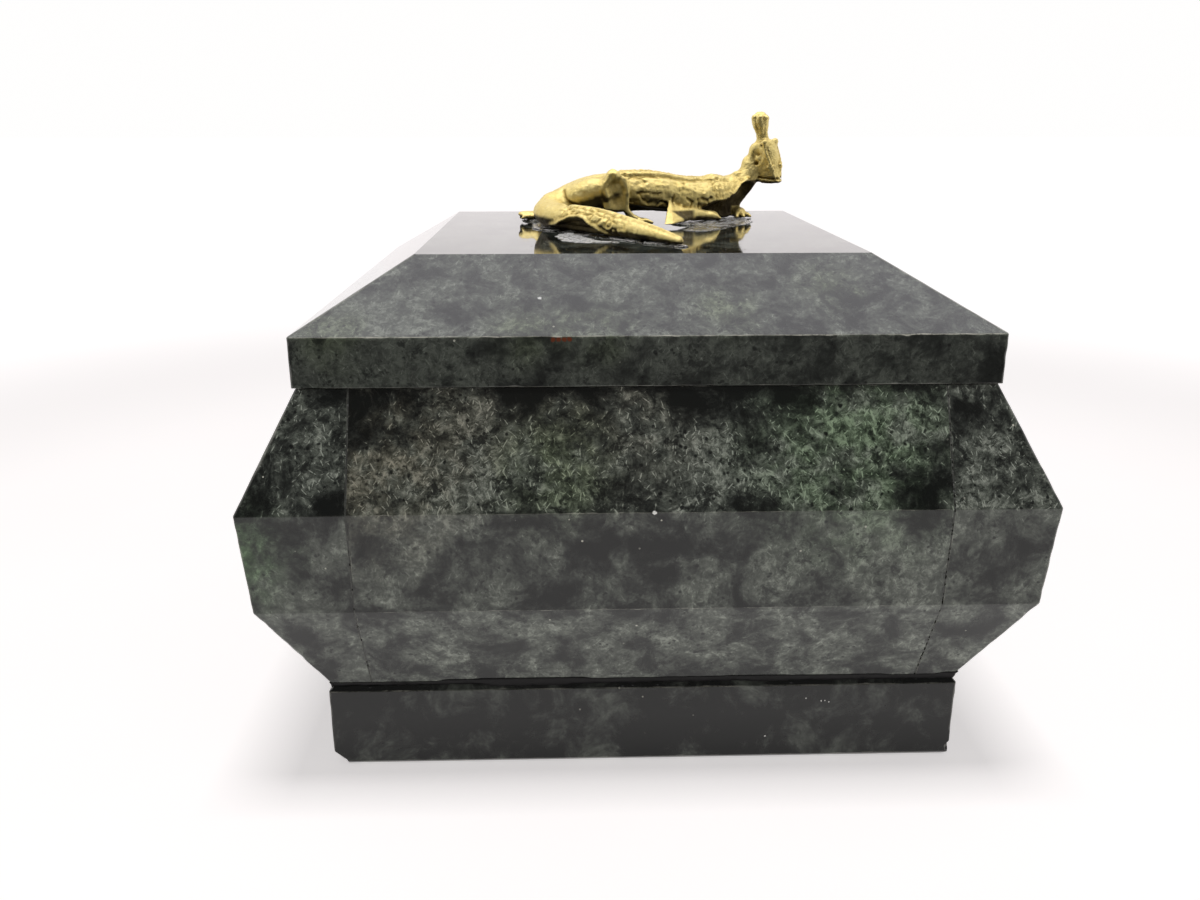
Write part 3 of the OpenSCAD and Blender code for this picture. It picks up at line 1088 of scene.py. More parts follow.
class Clay:
    """Modelling clay: a grid of distances to a surface that is built up and carved, in millimetres."""

    def __init__(self, low: Point, high: Point, step: float) -> None:
        """Start with an empty grid.

        Args:
            low: Lowest corner of the grid.
            high: Highest corner of the grid.
            step: Width of a cell.
        """
        self.low = np.array(low, float)
        self.step = step
        self.shape = np.ceil((np.array(high) - self.low) / step).astype(int) + 1
        self.field = np.full(self.shape, FAR, np.float32)

    def window(self, low: np.ndarray, high: np.ndarray) -> tuple[tuple[slice, ...], np.ndarray]:
        """Find the part of the grid that a box covers.

        Args:
            low: Lowest corner of the box.
            high: Highest corner of the box.

        Returns:
            Slices of the grid, and the place of each of its points.
        """
        first = np.clip(np.floor((low - self.low) / self.step).astype(int), 0, self.shape - 1)
        last = np.clip(np.ceil((high - self.low) / self.step).astype(int), 0, self.shape - 1)
        axes = [self.low[i] + self.step * np.arange(first[i], last[i] + 1) for i in range(3)]
        cells = tuple(slice(a, b + 1) for a, b in zip(first, last))
        return cells, np.stack(np.meshgrid(*axes, indexing="ij"), -1)

    def join(self, cells: tuple[slice, ...], gap: np.ndarray, blend: float, carve: bool) -> None:
        """Blend a shape into the clay, or carve it out.

        Args:
            cells: Part of the grid.
            gap: Distance to the shape there.
            blend: Width of the blend between old and new.
            carve: Whether the shape is taken away.
        """
        old = self.field[cells]
        if carve:
            share = np.clip(blend - np.abs(old + gap), 0, None) / blend
            self.field[cells] = np.maximum(old, -gap) + share * share * blend / 4
        else:
            share = np.clip(blend - np.abs(old - gap), 0, None) / blend
            self.field[cells] = np.minimum(old, gap) - share * share * blend / 4

    def ball(self, centre: Point, radii: Point, blend: float, axes: np.ndarray | None = None,
             carve: bool = False) -> None:
        """Add or carve an ellipsoid.

        Args:
            centre: Its middle.
            radii: Half of its length, width and height.
            blend: Width of the blend.
            axes: Directions of its length, width and height, as columns.
            carve: Whether it is taken away.
        """
        middle = np.array(centre, float)
        reach = max(radii) + blend + MARGIN
        cells, at = self.window(middle - reach, middle + reach)
        off = at - middle if axes is None else (at - middle) @ axes
        self.join(cells, oval_gap(off, np.array(radii, float)), blend, carve)

    def bar(self, stations: Sequence[Station], blend: float, carve: bool = False,
            spacing: float = 0.7) -> None:
        """Add or carve a rounded bar along a smooth row of stations.

        Args:
            stations: Places with half width and half height.
            blend: Width of the blend.
            carve: Whether it is taken away.
            spacing: Length of the bar's straight parts.
        """
        path = Path(stations, spacing)
        reach = path.sizes.max() + blend + MARGIN
        cells, at = self.window(path.places.min(0) - reach, path.places.max(0) + reach)
        gap = np.full(at.shape[:-1], FAR, np.float32)
        origin = at[0, 0, 0]
        for i in range(len(path.places) - 1):
            ends = path.places[i:i + 2]
            first = np.clip(((ends.min(0) - reach - origin) / self.step).astype(int), 0, None)
            last = ((ends.max(0) + reach - origin) / self.step).astype(int) + 1
            part = tuple(slice(a, b) for a, b in zip(first, last))
            off = at[part] - ends[0]
            run = ends[1] - ends[0]
            share = np.clip(off @ run / (run @ run), 0, 1)
            off = off - share[..., None] * run
            sizes = path.sizes[i] + share[..., None] * (path.sizes[i + 1] - path.sizes[i])
            frame_axes = np.stack([path.near[i], path.up[i], path.way[i]], -1)
            radii = np.concatenate([sizes, sizes.min(-1, keepdims=True)], -1)
            gap[part] = np.minimum(gap[part], oval_gap(off @ frame_axes, radii))
        self.join(cells, gap, blend, carve)

    def wedge(self, corners: Sequence[Point], rounding: float, blend: float) -> None:
        """Add a flat-sided solid that spans some corners.

        Args:
            corners: Corners of the solid.
            rounding: Radius of its edges, which stand out past the corners.
            blend: Width of the blend.
        """
        shell = bmesh.new()
        for corner in corners:
            shell.verts.new(corner)
        bmesh.ops.convex_hull(shell, input=shell.verts)
        bmesh.ops.recalc_face_normals(shell, faces=shell.faces)
        spots = np.array(corners, float)
        reach = rounding + blend + MARGIN
        cells, at = self.window(spots.min(0) - reach, spots.max(0) + reach)
        gap = np.full(at.shape[:-1], -FAR)
        for side in shell.faces:
            normal = np.array(side.normal)
            gap = np.maximum(gap, (at - np.array(side.verts[0].co)) @ normal)
        shell.free()
        self.join(cells, gap - rounding, blend, carve=False)

    def work(self, forms: Sequence[Form]) -> None:
        """Add or carve some forms in order.

        Args:
            forms: Lumps, rods and blocks.
        """
        for form in forms:
            if isinstance(form, Lump):
                axes = turned(*form.turn) if any(form.turn) else None
                self.ball(form.centre, form.radii, form.blend, axes, form.carve)
            elif isinstance(form, Rod):
                self.bar(form.stations, form.blend)
            else:
                self.wedge(form.corners, form.rounding, form.blend)

    def cut_foot(self) -> None:
        """Cut the clay off level at height 0."""
        height = self.low[2] + self.step * np.arange(self.shape[2])
        self.field = np.maximum(self.field, -height[None, None, :])

    def skin(self) -> tuple[np.ndarray, np.ndarray]:
        """Lay a skin of four-sided faces over the clay.

        Returns:
            Points in millimetres, and the faces.
        """
        field = self.field
        inside = field < 0
        count = sum(inside[tuple(slice(o, n - 1 + o) for o, n in zip(shift, self.shape))].astype(np.int8)
                    for shift in product((0, 1), repeat=3))
        active = (count > 0) & (count < 8)
        number = np.full(active.shape, -1, np.int64)
        number[active] = np.arange(int(active.sum()))
        base = np.argwhere(active)
        total = np.zeros((len(base), 3))
        hits = np.zeros(len(base))
        faces = []
        for axis in range(3):
            unit = np.eye(3, dtype=int)[axis]
            others = [i for i in range(3) if i != axis]
            for pair in product((0, 1), repeat=2):
                start = base.copy()
                start[:, others] += pair
                one, two = field[tuple(start.T)], field[tuple((start + unit).T)]
                met = (one < 0) != (two < 0)
                share = one[met] / (one[met] - two[met])
                total[met] += start[met] + share[:, None] * unit
                hits[met] += 1
            low = tuple(slice(0, -1) if i == axis else slice(1, -1) for i in range(3))
            high = tuple(slice(1, None) if i == axis else slice(1, -1) for i in range(3))
            changed = inside[low] != inside[high]
            spot = np.argwhere(changed) + 1 - unit
            leaving = inside[tuple(spot.T)]
            ring = []
            for pair in ((-1, -1), (0, -1), (0, 0), (-1, 0)):
                cell = spot.copy()
                cell[:, others] += pair
                ring.append(number[tuple(cell.T)])
            quads = np.stack(ring, -1)
            outward = leaving if axis != 1 else ~leaving
            quads[~outward] = quads[~outward][:, ::-1]
            faces.append(quads)
        return self.low + self.step * total / hits[:, None], np.concatenate(faces)


def turned(x: float, y: float, z: float) -> np.ndarray:
    """Axes that are turned about X, Y and Z by some degrees."""
    return np.array(Euler([math.radians(a) for a in (x, y, z)]).to_matrix())


def oval_gap(at: np.ndarray, radii: np.ndarray) -> np.ndarray:
    """Distance to an ellipsoid, near enough for modelling.

    Args:
        at: Places in its own frame.
        radii: Its half sizes.

    Returns:
        Distance, which is negative inside.
    """
    share = at / radii
    one = np.linalg.norm(share, axis=-1)
    two = np.linalg.norm(share / radii, axis=-1)
    return np.where(two > 1e-6, one * (one - 1) / np.maximum(two, 1e-6), -radii.min(-1))


class Path:
    """A smooth line through stations, with its frames."""

    def __init__(self, stations: Sequence[Station], spacing: float = 0.7) -> None:
        """Lay the line.

        Args:
            stations: Places with half width and half height.
            spacing: Distance from one point of the line to the next.
        """
        rows = np.array(stations, float)
        padded = np.vstack([rows[:1], rows, rows[-1:]])
        line = []
        for a, b, c, d in zip(padded, padded[1:], padded[2:], padded[3:]):
            count = max(1, int(np.linalg.norm((c - b)[:3]) / spacing))
            for t in np.arange(count) / count:
                line.append(0.5 * (2 * b + (c - a) * t + (2 * a - 5 * b + 4 * c - d) * t ** 2
                                   + (3 * b - a - 3 * c + d) * t ** 3))
        line.append(rows[-1])
        filled = np.array(line)
        self.places = filled[:, :3]
        self.sizes = filled[:, 3:]
        way = np.gradient(self.places, axis=0)
        self.way = way / np.linalg.norm(way, axis=1, keepdims=True)
        near = np.cross(self.way, (0, 0, 1))
        for i in range(len(near)):
            if np.linalg.norm(near[i]) < 0.05:
                near[i] = near[i - 1] if i else (0, -1, 0)
        self.near = near / np.linalg.norm(near, axis=1, keepdims=True)
        self.up = np.cross(self.near, self.way)
        steps = np.linalg.norm(np.diff(self.places, axis=0), axis=1)
        self.run = np.concatenate([[0], np.cumsum(steps)])

    def around(self, points: np.ndarray) -> tuple[np.ndarray, np.ndarray, np.ndarray]:
        """Say where points lie along and round the line.

        Args:
            points: Places.

        Returns:
            Distance along the line, angle up from the near side in degrees, and distance in half sizes.
        """
        run, angle, share = [], [], []
        for block in np.array_split(points, max(1, len(points) // 20000)):
            gaps = np.linalg.norm(block[:, None] - self.places[None], axis=2)
            best = gaps.argmin(1)
            off = block - self.places[best]
            side = (off * self.near[best]).sum(1)
            rise = (off * self.up[best]).sum(1)
            run.append(self.run[best] + (off * self.way[best]).sum(1))
            angle.append(np.degrees(np.arctan2(rise, side)))
            share.append(np.hypot(side / self.sizes[best, 0], rise / self.sizes[best, 1]))
        return np.concatenate(run), np.concatenate(angle), np.concatenate(share)


def eased(value: np.ndarray, low: float, high: float) -> np.ndarray:
    """Rise smoothly from 0 at low to 1 at high."""
    share = np.clip((value - low) / (high - low), 0, 1)
    return share * share * (3 - 2 * share)


def pebbles(one: np.ndarray, two: np.ndarray, seed: int) -> np.ndarray:
    """Pattern of rounded lumps of uneven size, one to a unit.

    Args:
        one: First coordinate.
        two: Second coordinate.
        seed: Start of the chance values.

    Returns:
        Height from 0 in the joints to 1 on the lumps.
    """
    table = np.random.default_rng(seed).uniform(0, 1, (64, 64, 2))
    col, row = np.floor(one).astype(int), np.floor(two).astype(int)
    gaps = []
    for i, j in product((-1, 0, 1), repeat=2):
        spot = 0.15 + 0.7 * table[(col + i) % 64, (row + j) % 64]
        gaps.append(np.hypot(col + i + spot[:, 0] - one, row + j + spot[:, 1] - two))
    near = np.sort(np.stack(gaps), axis=0)
    return eased(near[1] - near[0], 0.0, 0.55)


def cloud(points: np.ndarray, size: float, seed: float = 0.0) -> np.ndarray:
    """Smooth noise from -1 to 1 at places in millimetres."""
    return np.array([noise.noise(Vector(p) / size + Vector((seed, 3 * seed, -seed))) for p in points])


class Mesh:
    """Points and faces of a skin, with what lies beside each point."""

    def __init__(self, points: np.ndarray, faces: np.ndarray) -> None:
        """Keep the skin and list its edges.

        Args:
            points: Places in millimetres.
            faces: Four-sided faces.
        """
        self.points = points
        self.faces = faces
        edges = np.sort(np.vstack([faces[:, [i, (i + 1) % 4]] for i in range(4)]), axis=1)
        self.edges = np.unique(edges, axis=0)
        self.count = np.bincount(self.edges.ravel(), minlength=len(points))[:, None]

    def beside(self, values: np.ndarray) -> np.ndarray:
        """Mean of a value over the neighbours of each point.

        Args:
            values: A row of values for each point.

        Returns:
            Mean values in the same form.
        """
        total = np.zeros_like(values)
        np.add.at(total, self.edges[:, 0], values[self.edges[:, 1]])
        np.add.at(total, self.edges[:, 1], values[self.edges[:, 0]])
        return total / self.count

    def eased_points(self, rounds: int, share: float = 0.5) -> np.ndarray:
        """Points after some rounds of smoothing.

        Args:
            rounds: Number of rounds.
            share: How far a point moves to its neighbours' middle each time.

        Returns:
            Places in millimetres.
        """
        points = self.points.copy()
        for _ in range(rounds):
            points += share * (self.beside(points) - points)
        return points

    def normals(self) -> np.ndarray:
        """Unit normals of the points.

        Returns:
            One unit vector for each point.
        """
        corners = self.points[self.faces]
        flat = np.cross(corners[:, 2] - corners[:, 0], corners[:, 3] - corners[:, 1])
        total = np.zeros_like(self.points)
        for i in range(4):
            np.add.at(total, self.faces[:, i], flat)
        return total / np.maximum(np.linalg.norm(total, axis=1, keepdims=True), 1e-9)

    def hollows(self, rounds: int, depth: float) -> np.ndarray:
        """Say how hollow the skin is at each point.

        Args:
            rounds: Rounds of smoothing that set the size of the hollows.
            depth: Depth in millimetres that counts in full.

        Returns:
            Value from 0 to 1.
        """
        sunk = ((self.eased_points(rounds) - self.points) * self.normals()).sum(1)
        return np.clip(sunk / depth, 0, 1)


@dataclass(frozen=True)
class Limb:
    """A leg: its forms in order, the middle of its foot, and the toes' heading in degrees and length."""

    forms: tuple[Form, ...]
    foot: Point
    heading: float
    toe: float


# Broad thigh, peaked knee, hollow shin and foot.
NEAR_HIND_LEG = Limb(
    (Lump((-8.4, 5.8, 5.3), (5.0, 2.6, 2.9), 1.0, (0, -24, -14)),
     Block(((-3.4, 4.5, 9.6), (-1.2, 4.7, 8.1), (-0.9, 4.9, 3.0), (-5.6, 4.3, 6.2), (-4.6, 3.9, 3.4),
            (-3.4, 6.8, 9.2), (-1.1, 6.8, 7.6), (-1.2, 7.0, 3.2), (-6.4, 6.6, 5.6)), 0.55, 1.1),
     Lump((-3.3, 4.1, 9.2), (1.3, 1.2, 0.95), 0.7),
     Rod(((-1.5, 4.5, 8.3, 0.7, 0.7), (-0.75, 4.4, 6.8, 0.6, 0.6), (-0.75, 4.6, 4.6, 0.55, 0.55),
          (-0.7, 4.8, 2.8, 0.6, 0.6), (0.5, 5.1, 1.3, 0.9, 0.7), (2.2, 5.3, 0.6, 1.0, 0.6)), 0.5),
     Rod(((-4.2, 3.5, 8.4, 0.5, 0.5), (-5.1, 3.3, 6.8, 0.5, 0.5), (-4.4, 3.3, 5.2, 0.45, 0.45)), 0.7),
     Lump((-2.5, 2.3, 4.6), (1.6, 1.9, 2.3), 0.4, (0, 16, 0), carve=True),
     Lump((-3.0, 2.2, 7.7), (0.8, 1.5, 1.1), 0.5, carve=True),
     Lump((-3.4, 2.7, 9.1), (0.35, 0.5, 0.4), 0.3, carve=True)),
    (1.6, 5.4, 0.5), 14, 2.6)
FAR_HIND_LEG = Limb(
    (Rod(((-9, 11.6, 4.8, 2.7, 2.7), (-11.2, 15, 4.4, 2.1, 2.1), (-12.6, 17.2, 3.4, 1.5, 1.6)), 0.8),
     Rod(((-12.4, 17.2, 3.2, 1.4, 1.5), (-15.6, 16.8, 2, 1.2, 1.2), (-18.2, 16.4, 0.9, 1.3, 0.9)), 0.6),
     Lump((-19.4, 16.1, 0.8), (2.6, 1.5, 0.7), 0.4, (8, 6, 10))),
    (-19.4, 16.1, 0.45), 186, 2.0)
FAR_FORELEG = Limb(
    (Rod(((16.6, 21, 4.8, 2, 2.2), (18.2, 23.4, 3.4, 1.7, 1.8), (20.4, 22.6, 1.9, 1.4, 1.5),
          (22.6, 19.6, 1.1, 1.3, 1.1)), 0.8),
     Lump((23.2, 18.0, 1.0), (1.3, 1.8, 1.05), 0.4, (0, 0, 12))),
    (23.3, 17.6, 0.5), -70, 1.8)
# Folded to a flat, pointed elbow that flares to its foot.
NEAR_FORELEG = Limb(
    (Rod(((15, 14.4, 4.6, 2.0, 2.1), (12, 12.6, 3.4, 1.8, 1.7), (9.8, 11.0, 2.4, 1.2, 1.2)), 0.9),
     Block(((8.0, 9.0, 3.75), (8.5, 10.0, 3.7), (6.9, 3.4, 0.3), (8.2, 3.6, 0.25), (10.2, 7.0, 0.5),
            (13.4, 10.6, 1.2), (13.4, 10.8, 0.5), (9.6, 11.6, 1.2)), 0.2, 0.3),
     Rod(((10, 9.6, 1.6, 1.1, 1.3), (13, 11.4, 1.3, 1.2, 1.3), (15.4, 12.6, 1.0, 1.2, 1.0)), 0.5),
     Lump((16.4, 12.9, 0.9), (2.0, 1.3, 0.95), 0.35, (0, 0, 24))),
    (16.8, 13.2, 0.5), 26, 1.4)


@dataclass
class Lizard:
    """Brass casting of a crested lizard that lies on the lid with its tail curled forward, in millimetres.

    Places on the head are in its own directions: down to the nose, to the near side and to the brow.
    """

    cell: float = 0.2
    low: Point = (-23, -29, -0.6)
    high: Point = (33, 31, 21.4)
    trunk: tuple[Station, ...] = (
        (-16.2, 8.8, 2.2, 2.4, 1.9), (-12.5, 8.6, 3.6, 3.7, 3.1), (-7.5, 9, 5.0, 4.3, 3.8),
        (-2, 10.2, 5.6, 4.1, 3.8), (4, 12, 5.7, 4.3, 3.6), (10, 14.6, 4.9, 4.2, 3.3),
        (15.5, 17.4, 4.5, 4.3, 3.3), (20, 19.6, 4.6, 3.8, 3.5), (22.9, 20.5, 6.0, 2.9, 2.8),
        (25.7, 20.5, 8.6, 1.9, 1.9))
    tail: tuple[Station, ...] = (
        (-11, 9.4, 3.8, 3.6, 3.2), (-14.8, 6.6, 2.7, 3.4, 2.6), (-14.6, 2, 2.2, 3.2, 2.2),
        (-11, -4, 2.1, 3.0, 2.2), (-6.4, -10, 2, 2.7, 2.15), (-1.8, -16, 1.6, 2.1, 1.75),
        (2.6, -21.8, 1.1, 1.45, 1.25), (6.5, -26.9, 0.5, 0.6, 0.6))
    body_blend: float = 0.8
    body_spacing: float = 0.35
    body_forms: tuple[Form, ...] = (
        Rod(((-1.5, 9.6, 4.9, 1.7, 1.4), (3, 9.8, 4.4, 1.8, 1.7), (7, 11.2, 3.9, 1.7, 1.7),
             (11, 13.0, 3.7, 1.7, 1.7), (14.5, 15.0, 4.2, 1.6, 1.6)), 1.4),
        Lump((-15.0, 7.6, 4.1), (1.9, 2.2, 1.6), 0.8),
        Lump((19.6, 18.6, 3.0), (3.6, 3.4, 3.1), 1.2),
        Lump((17.3, 18.4, 6.6), (1.8, 1.8, 1.5), 1.0),
        Lump((22.4, 19.4, 8.4), (0.9, 0.7, 0.7), 0.5, (0, -30, 0)))
    belly_fold: tuple[Point, ...] = ((-0.6, 7.6, 3.9), (3, 8.1, 3.2), (7, 9.8, 2.7), (10.5, 11.4, 2.5))
    belly_undercut: float = 1.5
    chest_fold: tuple[Point, ...] = (
        (12.4, 12.6, 2.0), (16.4, 13.5, 3.4), (20.2, 15.4, 4.1), (22.6, 16.9, 5.4), (24.6, 17.9, 7.4))
    chest_undercut: float = 2.2
    tail_fold_turns: tuple[tuple[float, float], ...] = (
        (9, -45), (12.5, -32), (15.8, -16), (17.4, -4), (18.9, 8), (21.5, 19), (23.5, 12), (26.5, -12),
        (28, -28), (30, -45), (33, -50), (36, -46), (39, -36), (43, -40))
    thigh_crease: tuple[Station, ...] = (
        (-12.7, 4.4, 6.4, 0.5, 0.5), (-12.3, 3.6, 5.0, 0.5, 0.5), (-11.6, 3.0, 4.1, 0.5, 0.5),
        (-10.4, 2.6, 3.4, 0.5, 0.5))
    limbs: tuple[Limb, ...] = (NEAR_HIND_LEG, FAR_HIND_LEG, FAR_FORELEG, NEAR_FORELEG)
    toe_fan: float = 26.0
    toe_gap: float = 0.75
    head_at: Point = (28.6, 19.95, 11.6)
    head_down: Point = (0.2, -0.12, -0.97)
    head_front: Point = (0.65, -0.72, 0.25)
    skull: Lump = Lump((-0.6, 0, -0.7), (3.2, 2.2, 2.6), 0.9)
    face: tuple[Point, ...] = (
        (-2.7, 1.65, 1.4), (-0.5, 1.6, 1.5), (1.6, 1.4, 1.6), (3.6, 1.0, 1.75), (4.7, 0.5, 1.8),
        (4.7, 0.7, 0.9), (4.2, 1.2, -0.8), (2.8, 1.6, -2.4), (-0.5, 1.5, -1.5), (-2.6, 1.3, -0.4))
    forehead: Lump = Lump((-0.6, 0, 1.2), (2.9, 1.9, 1.25), 0.6)
    nose: Lump = Lump((4.7, 0, 2.0), (0.6, 0.7, 0.6), 0.5)
    temple: Lump = Lump((-1.0, 1.2, -1.6), (2.3, 1.25, 1.4), 0.9)
    cheek: Lump = Lump((1.15, 2.0, -3.1), (2.45, 1.65, 1.6), 0.8)
    brow_knob: Lump = Lump((-2.95, 1.7, 1.6), (0.6, 0.65, 0.65), 0.5)
    eye_hollow: Lump = Lump((-0.75, 2.8, -0.2), (1.8, 0.85, 1.45), 0.25, carve=True)
    eye: Lump = Lump((-0.2, 1.95, -0.5), (0.72, 0.45, 0.72), 0.15)
    eye_pits: tuple[Lump, ...] = (
        Lump((-0.98, 2.25, -0.25), (0.38, 0.5, 0.456), 0.12, carve=True),
        Lump((0.62, 2.25, -0.95), (0.4, 0.5, 0.48), 0.12, carve=True),
        Lump((-2.45, 2.2, 0.95), (0.34, 0.5, 0.408), 0.12, carve=True))
    brow: tuple[Point, ...] = (
        (-2.8, 1.95, 1.25), (-1.8, 2.1, 1.5), (-0.5, 2.1, 1.75), (0.7, 1.95, 1.95), (1.7, 1.7, 2.1))
    beads: tuple[tuple[Point, float], ...] = (
        ((1.5, 1.75, 2.0), 0.38), ((2.0, 1.85, 1.6), 0.36), ((2.2, 1.45, 2.1), 0.42),
        ((2.7, 1.55, 1.5), 0.36), ((2.8, 1.15, 2.1), 0.36), ((1.9, 1.1, 2.35), 0.34),
        ((3.3, 1.2, 1.7), 0.3))
    nostril: Lump = Lump((4.2, 0.6, 2.35), (0.22, 0.25, 0.3), 0.1, carve=True)
    lips: tuple[Point, ...] = (
        (2.9, 2.3, -2.2), (3.5, 1.6, -0.8), (4.0, 1.3, 0.5), (4.4, 1.0, 1.6), (4.7, 0.3, 2.6))
    crest_y: float = 20.6
    crest: tuple[Point, ...] = (
        (27.95, 14.4, 1.5), (27.75, 15.6, 1.2), (27.6, 16.5, 1.2), (27.45, 17.3, 1.4), (27.3, 18.1, 1.65),
        (27.15, 18.8, 1.75))
    knobs: int = 6
    knob_ring: float = 1.2
    knob_radii: Point = (0.75, 0.75, 0.72)
    gap_ring: float = 1.75
    gap_radii: Point = (0.36, 0.36, 0.42)
    band_height: float = 0.34
    spine_height: float = 0.2
    groove_depth: float = 0.34
    lump_height: float = 0.15
    scar_depth: float = 0.3
    scale_height: float = 0.1
    tail_lip: float = 0.42
    tail_undercut: float = 0.75
    tail_rim: float = 0.26
    tail_lumps: float = 0.5
    crease_depth: float = 0.4

    def build(self, finish: CastBrass) -> None:
        """Model, detail and dress the figure.

        Args:
            finish: The brass.
        """
        clay = Clay(self.low, self.high, self.cell)
        self.model_body(clay)
        for limb in self.limbs:
            clay.work(limb.forms)
            self.toes(clay, limb)
        self.model_head(clay)
        self.model_crest(clay)
        clay.cut_foot()
        mesh = Mesh(*clay.skin())
        mesh.points = mesh.eased_points(2, 0.4)
        self.detail(mesh)
        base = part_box("lizard_figure")[0].z / MM
        made = link_mesh("lizard_casting", mesh.points + (0, 0, base), mesh.faces)
        all_smooth(made)
        sunk = np.maximum(mesh.hollows(6, 0.05), 0.8 * mesh.hollows(40, 0.45))
        painted(made, "hollow", mesh.beside(sunk[:, None])[:, 0])
        # Painted shade: the points that lie in shade, which the brass darkens.
        painted(made, "under", self.shaded(mesh))
        painted(made, "scales", self.scaly(mesh.points))
        dress(made, finish.material(), Body.LID, "lizard_figure")

    def model_body(self, clay: Clay) -> None:
        """Trunk, tail, chest and the folds along the flank, with the undercuts below them.

        Args:
            clay: Clay to work on.
        """
        for stations in (self.trunk, self.tail):
            clay.bar(stations, self.body_blend, spacing=self.body_spacing)
        clay.work(self.body_forms)
        for fold, depth in ((self.belly_fold, self.belly_undercut), (self.chest_fold, self.chest_undercut)):
            clay.bar([(x, y, z, 0.5, 0.45) for x, y, z in fold], 0.8)
            undercut = [(x + 0.3, y - 0.2, z - depth - 0.25, depth + 0.5, depth) for x, y, z in fold]
            clay.bar(undercut, 0.4, carve=True)

    def toes(self, clay: Clay, limb: Limb) -> None:
        """Fan three toes with claws out of a foot.

        Args:
            clay: Clay to add to.
            limb: Leg that ends in the foot.
        """
        across = math.radians(limb.heading + 90)
        z = limb.foot[2]
        for side in (-1, 0, 1):
            way = math.radians(limb.heading + self.toe_fan * side)
            x = limb.foot[0] + self.toe_gap * side * math.cos(across)
            y = limb.foot[1] + self.toe_gap * side * math.sin(across)
            joint = (x + 0.6 * limb.toe * math.cos(way), y + 0.6 * limb.toe * math.sin(way), z + 0.15)
            tip = (x + limb.toe * math.cos(way), y + limb.toe * math.sin(way), z - 0.15)
            clay.bar(((x, y, z, 0.6, 0.55), (*joint, 0.5, 0.48), (*tip, 0.3, 0.3)), 0.25)

    def model_head(self, clay: Clay) -> None:
        """Head that hangs from the neck: flat brow, heavy cheeks, sunk eyes and a closed mouth.

        Args:
            clay: Clay to work on.
        """
        axes = self.head_axes()

        def at(down: float, near: float, front: float) -> np.ndarray:
            """Place in the head's own directions."""
            return np.array(self.head_at) + axes @ np.array((down, near, front))

        def lay(lump: Lump, side: int = 1) -> None:
            """Add or carve a lump on one side of the head."""
            down, near, front = lump.centre
            clay.ball(at(down, side * near, front), lump.radii, lump.blend, axes, lump.carve)

        lay(self.skull)
        clay.wedge([at(a, s * b, c) for a, b, c in self.face for s in (-1, 1)], 0.5, 0.8)
        lay(self.forehead)
        lay(self.nose)
        for s in (-1, 1):
            for lump in (self.temple, self.cheek, self.brow_knob, self.eye_hollow, self.eye, *self.eye_pits):
                lay(lump, s)
            clay.bar([(*at(a, s * (b - 0.05), c), 0.22, 0.22) for a, b, c in self.brow], 0.3)
            groove = [(*at(a, s * (b - 0.4), c + 0.36), 0.17, 0.17) for a, b, c in self.brow[1:]]
            clay.bar(groove, 0.12, carve=True)
            for centre, radius in self.beads:
                lay(Lump(centre, (radius, radius, radius), 0.12), s)
            lay(self.nostril, s)
            clay.bar([(*at(a, s * b, c), 0.28, 0.2) for a, b, c in self.lips], 0.12, carve=True)

    def head_axes(self) -> np.ndarray:
        """Directions of the head, down to the nose, to its near side and to its brow.

        Returns:
            Unit vectors as columns.
        """
        down = np.array(self.head_down)
        down /= np.linalg.norm(down)
        front = np.array(self.head_front)
        front -= down * (front @ down)
        front /= np.linalg.norm(front)
        return np.stack([down, np.cross(down, front), front], -1)

    def model_crest(self, clay: Clay) -> None:
        """Natural crest: a fluted stem that swells into a bud of knobs.

        Args:
            clay: Clay to work on.
        """
        mid = self.crest_y
        top_x, top_z, _ = self.crest[-1]

        def round_stem(turn: float, radius: float, z: float, x: float = top_x) -> Point:
            """Place on a ring round the stem."""
            return (x + radius * math.cos(turn), mid + radius * math.sin(turn), z)

        clay.bar([(x, mid, z, r, r) for x, z, r in self.crest], 0.5)
        for i in range(self.knobs):
            turn = 2 * math.pi * (i + 0.3) / self.knobs
            rise = 0.12 * math.sin(5.0 * i)
            clay.ball(round_stem(turn, self.knob_ring, top_z + 0.55 + rise), self.knob_radii, 0.2)
            groove = turn + math.pi / self.knobs
            flute = [(*round_stem(groove, r + 0.12, z, x), 0.24, 0.24) for x, z, r in self.crest[2:]]
            clay.bar(flute, 0.15, carve=True)
            clay.ball(round_stem(groove, self.gap_ring, top_z + 0.6), self.gap_radii, 0.12, carve=True)
        for side in (-1, 1):
            clay.ball((top_x + 0.35 * side, mid, top_z + 1.1), (0.78, 0.9, 0.75), 0.2)
            clay.ball((top_x + 0.75 * side, mid - 1.35, top_z + 1.3), (0.3, 0.4, 0.3), 0.12, carve=True)

    def detail(self, mesh: Mesh) -> None:
        """Raise scales, folds and seams on the skin.

        Args:
            mesh: Skin to work on.
        """
        points = mesh.points
        lift = 0.04 * cloud(points, 0.8, 2.0) + 0.03 * cloud(points, 0.4, 5.0)
        lift += self.back_detail(points) + self.tail_detail(points) + self.thigh_detail(points)
        lift *= eased(points[:, 2], 0.0, 0.5)
        mesh.points = points + lift[:, None] * mesh.normals()
        mesh.points[:, 2] = np.maximum(mesh.points[:, 2], 0.0)

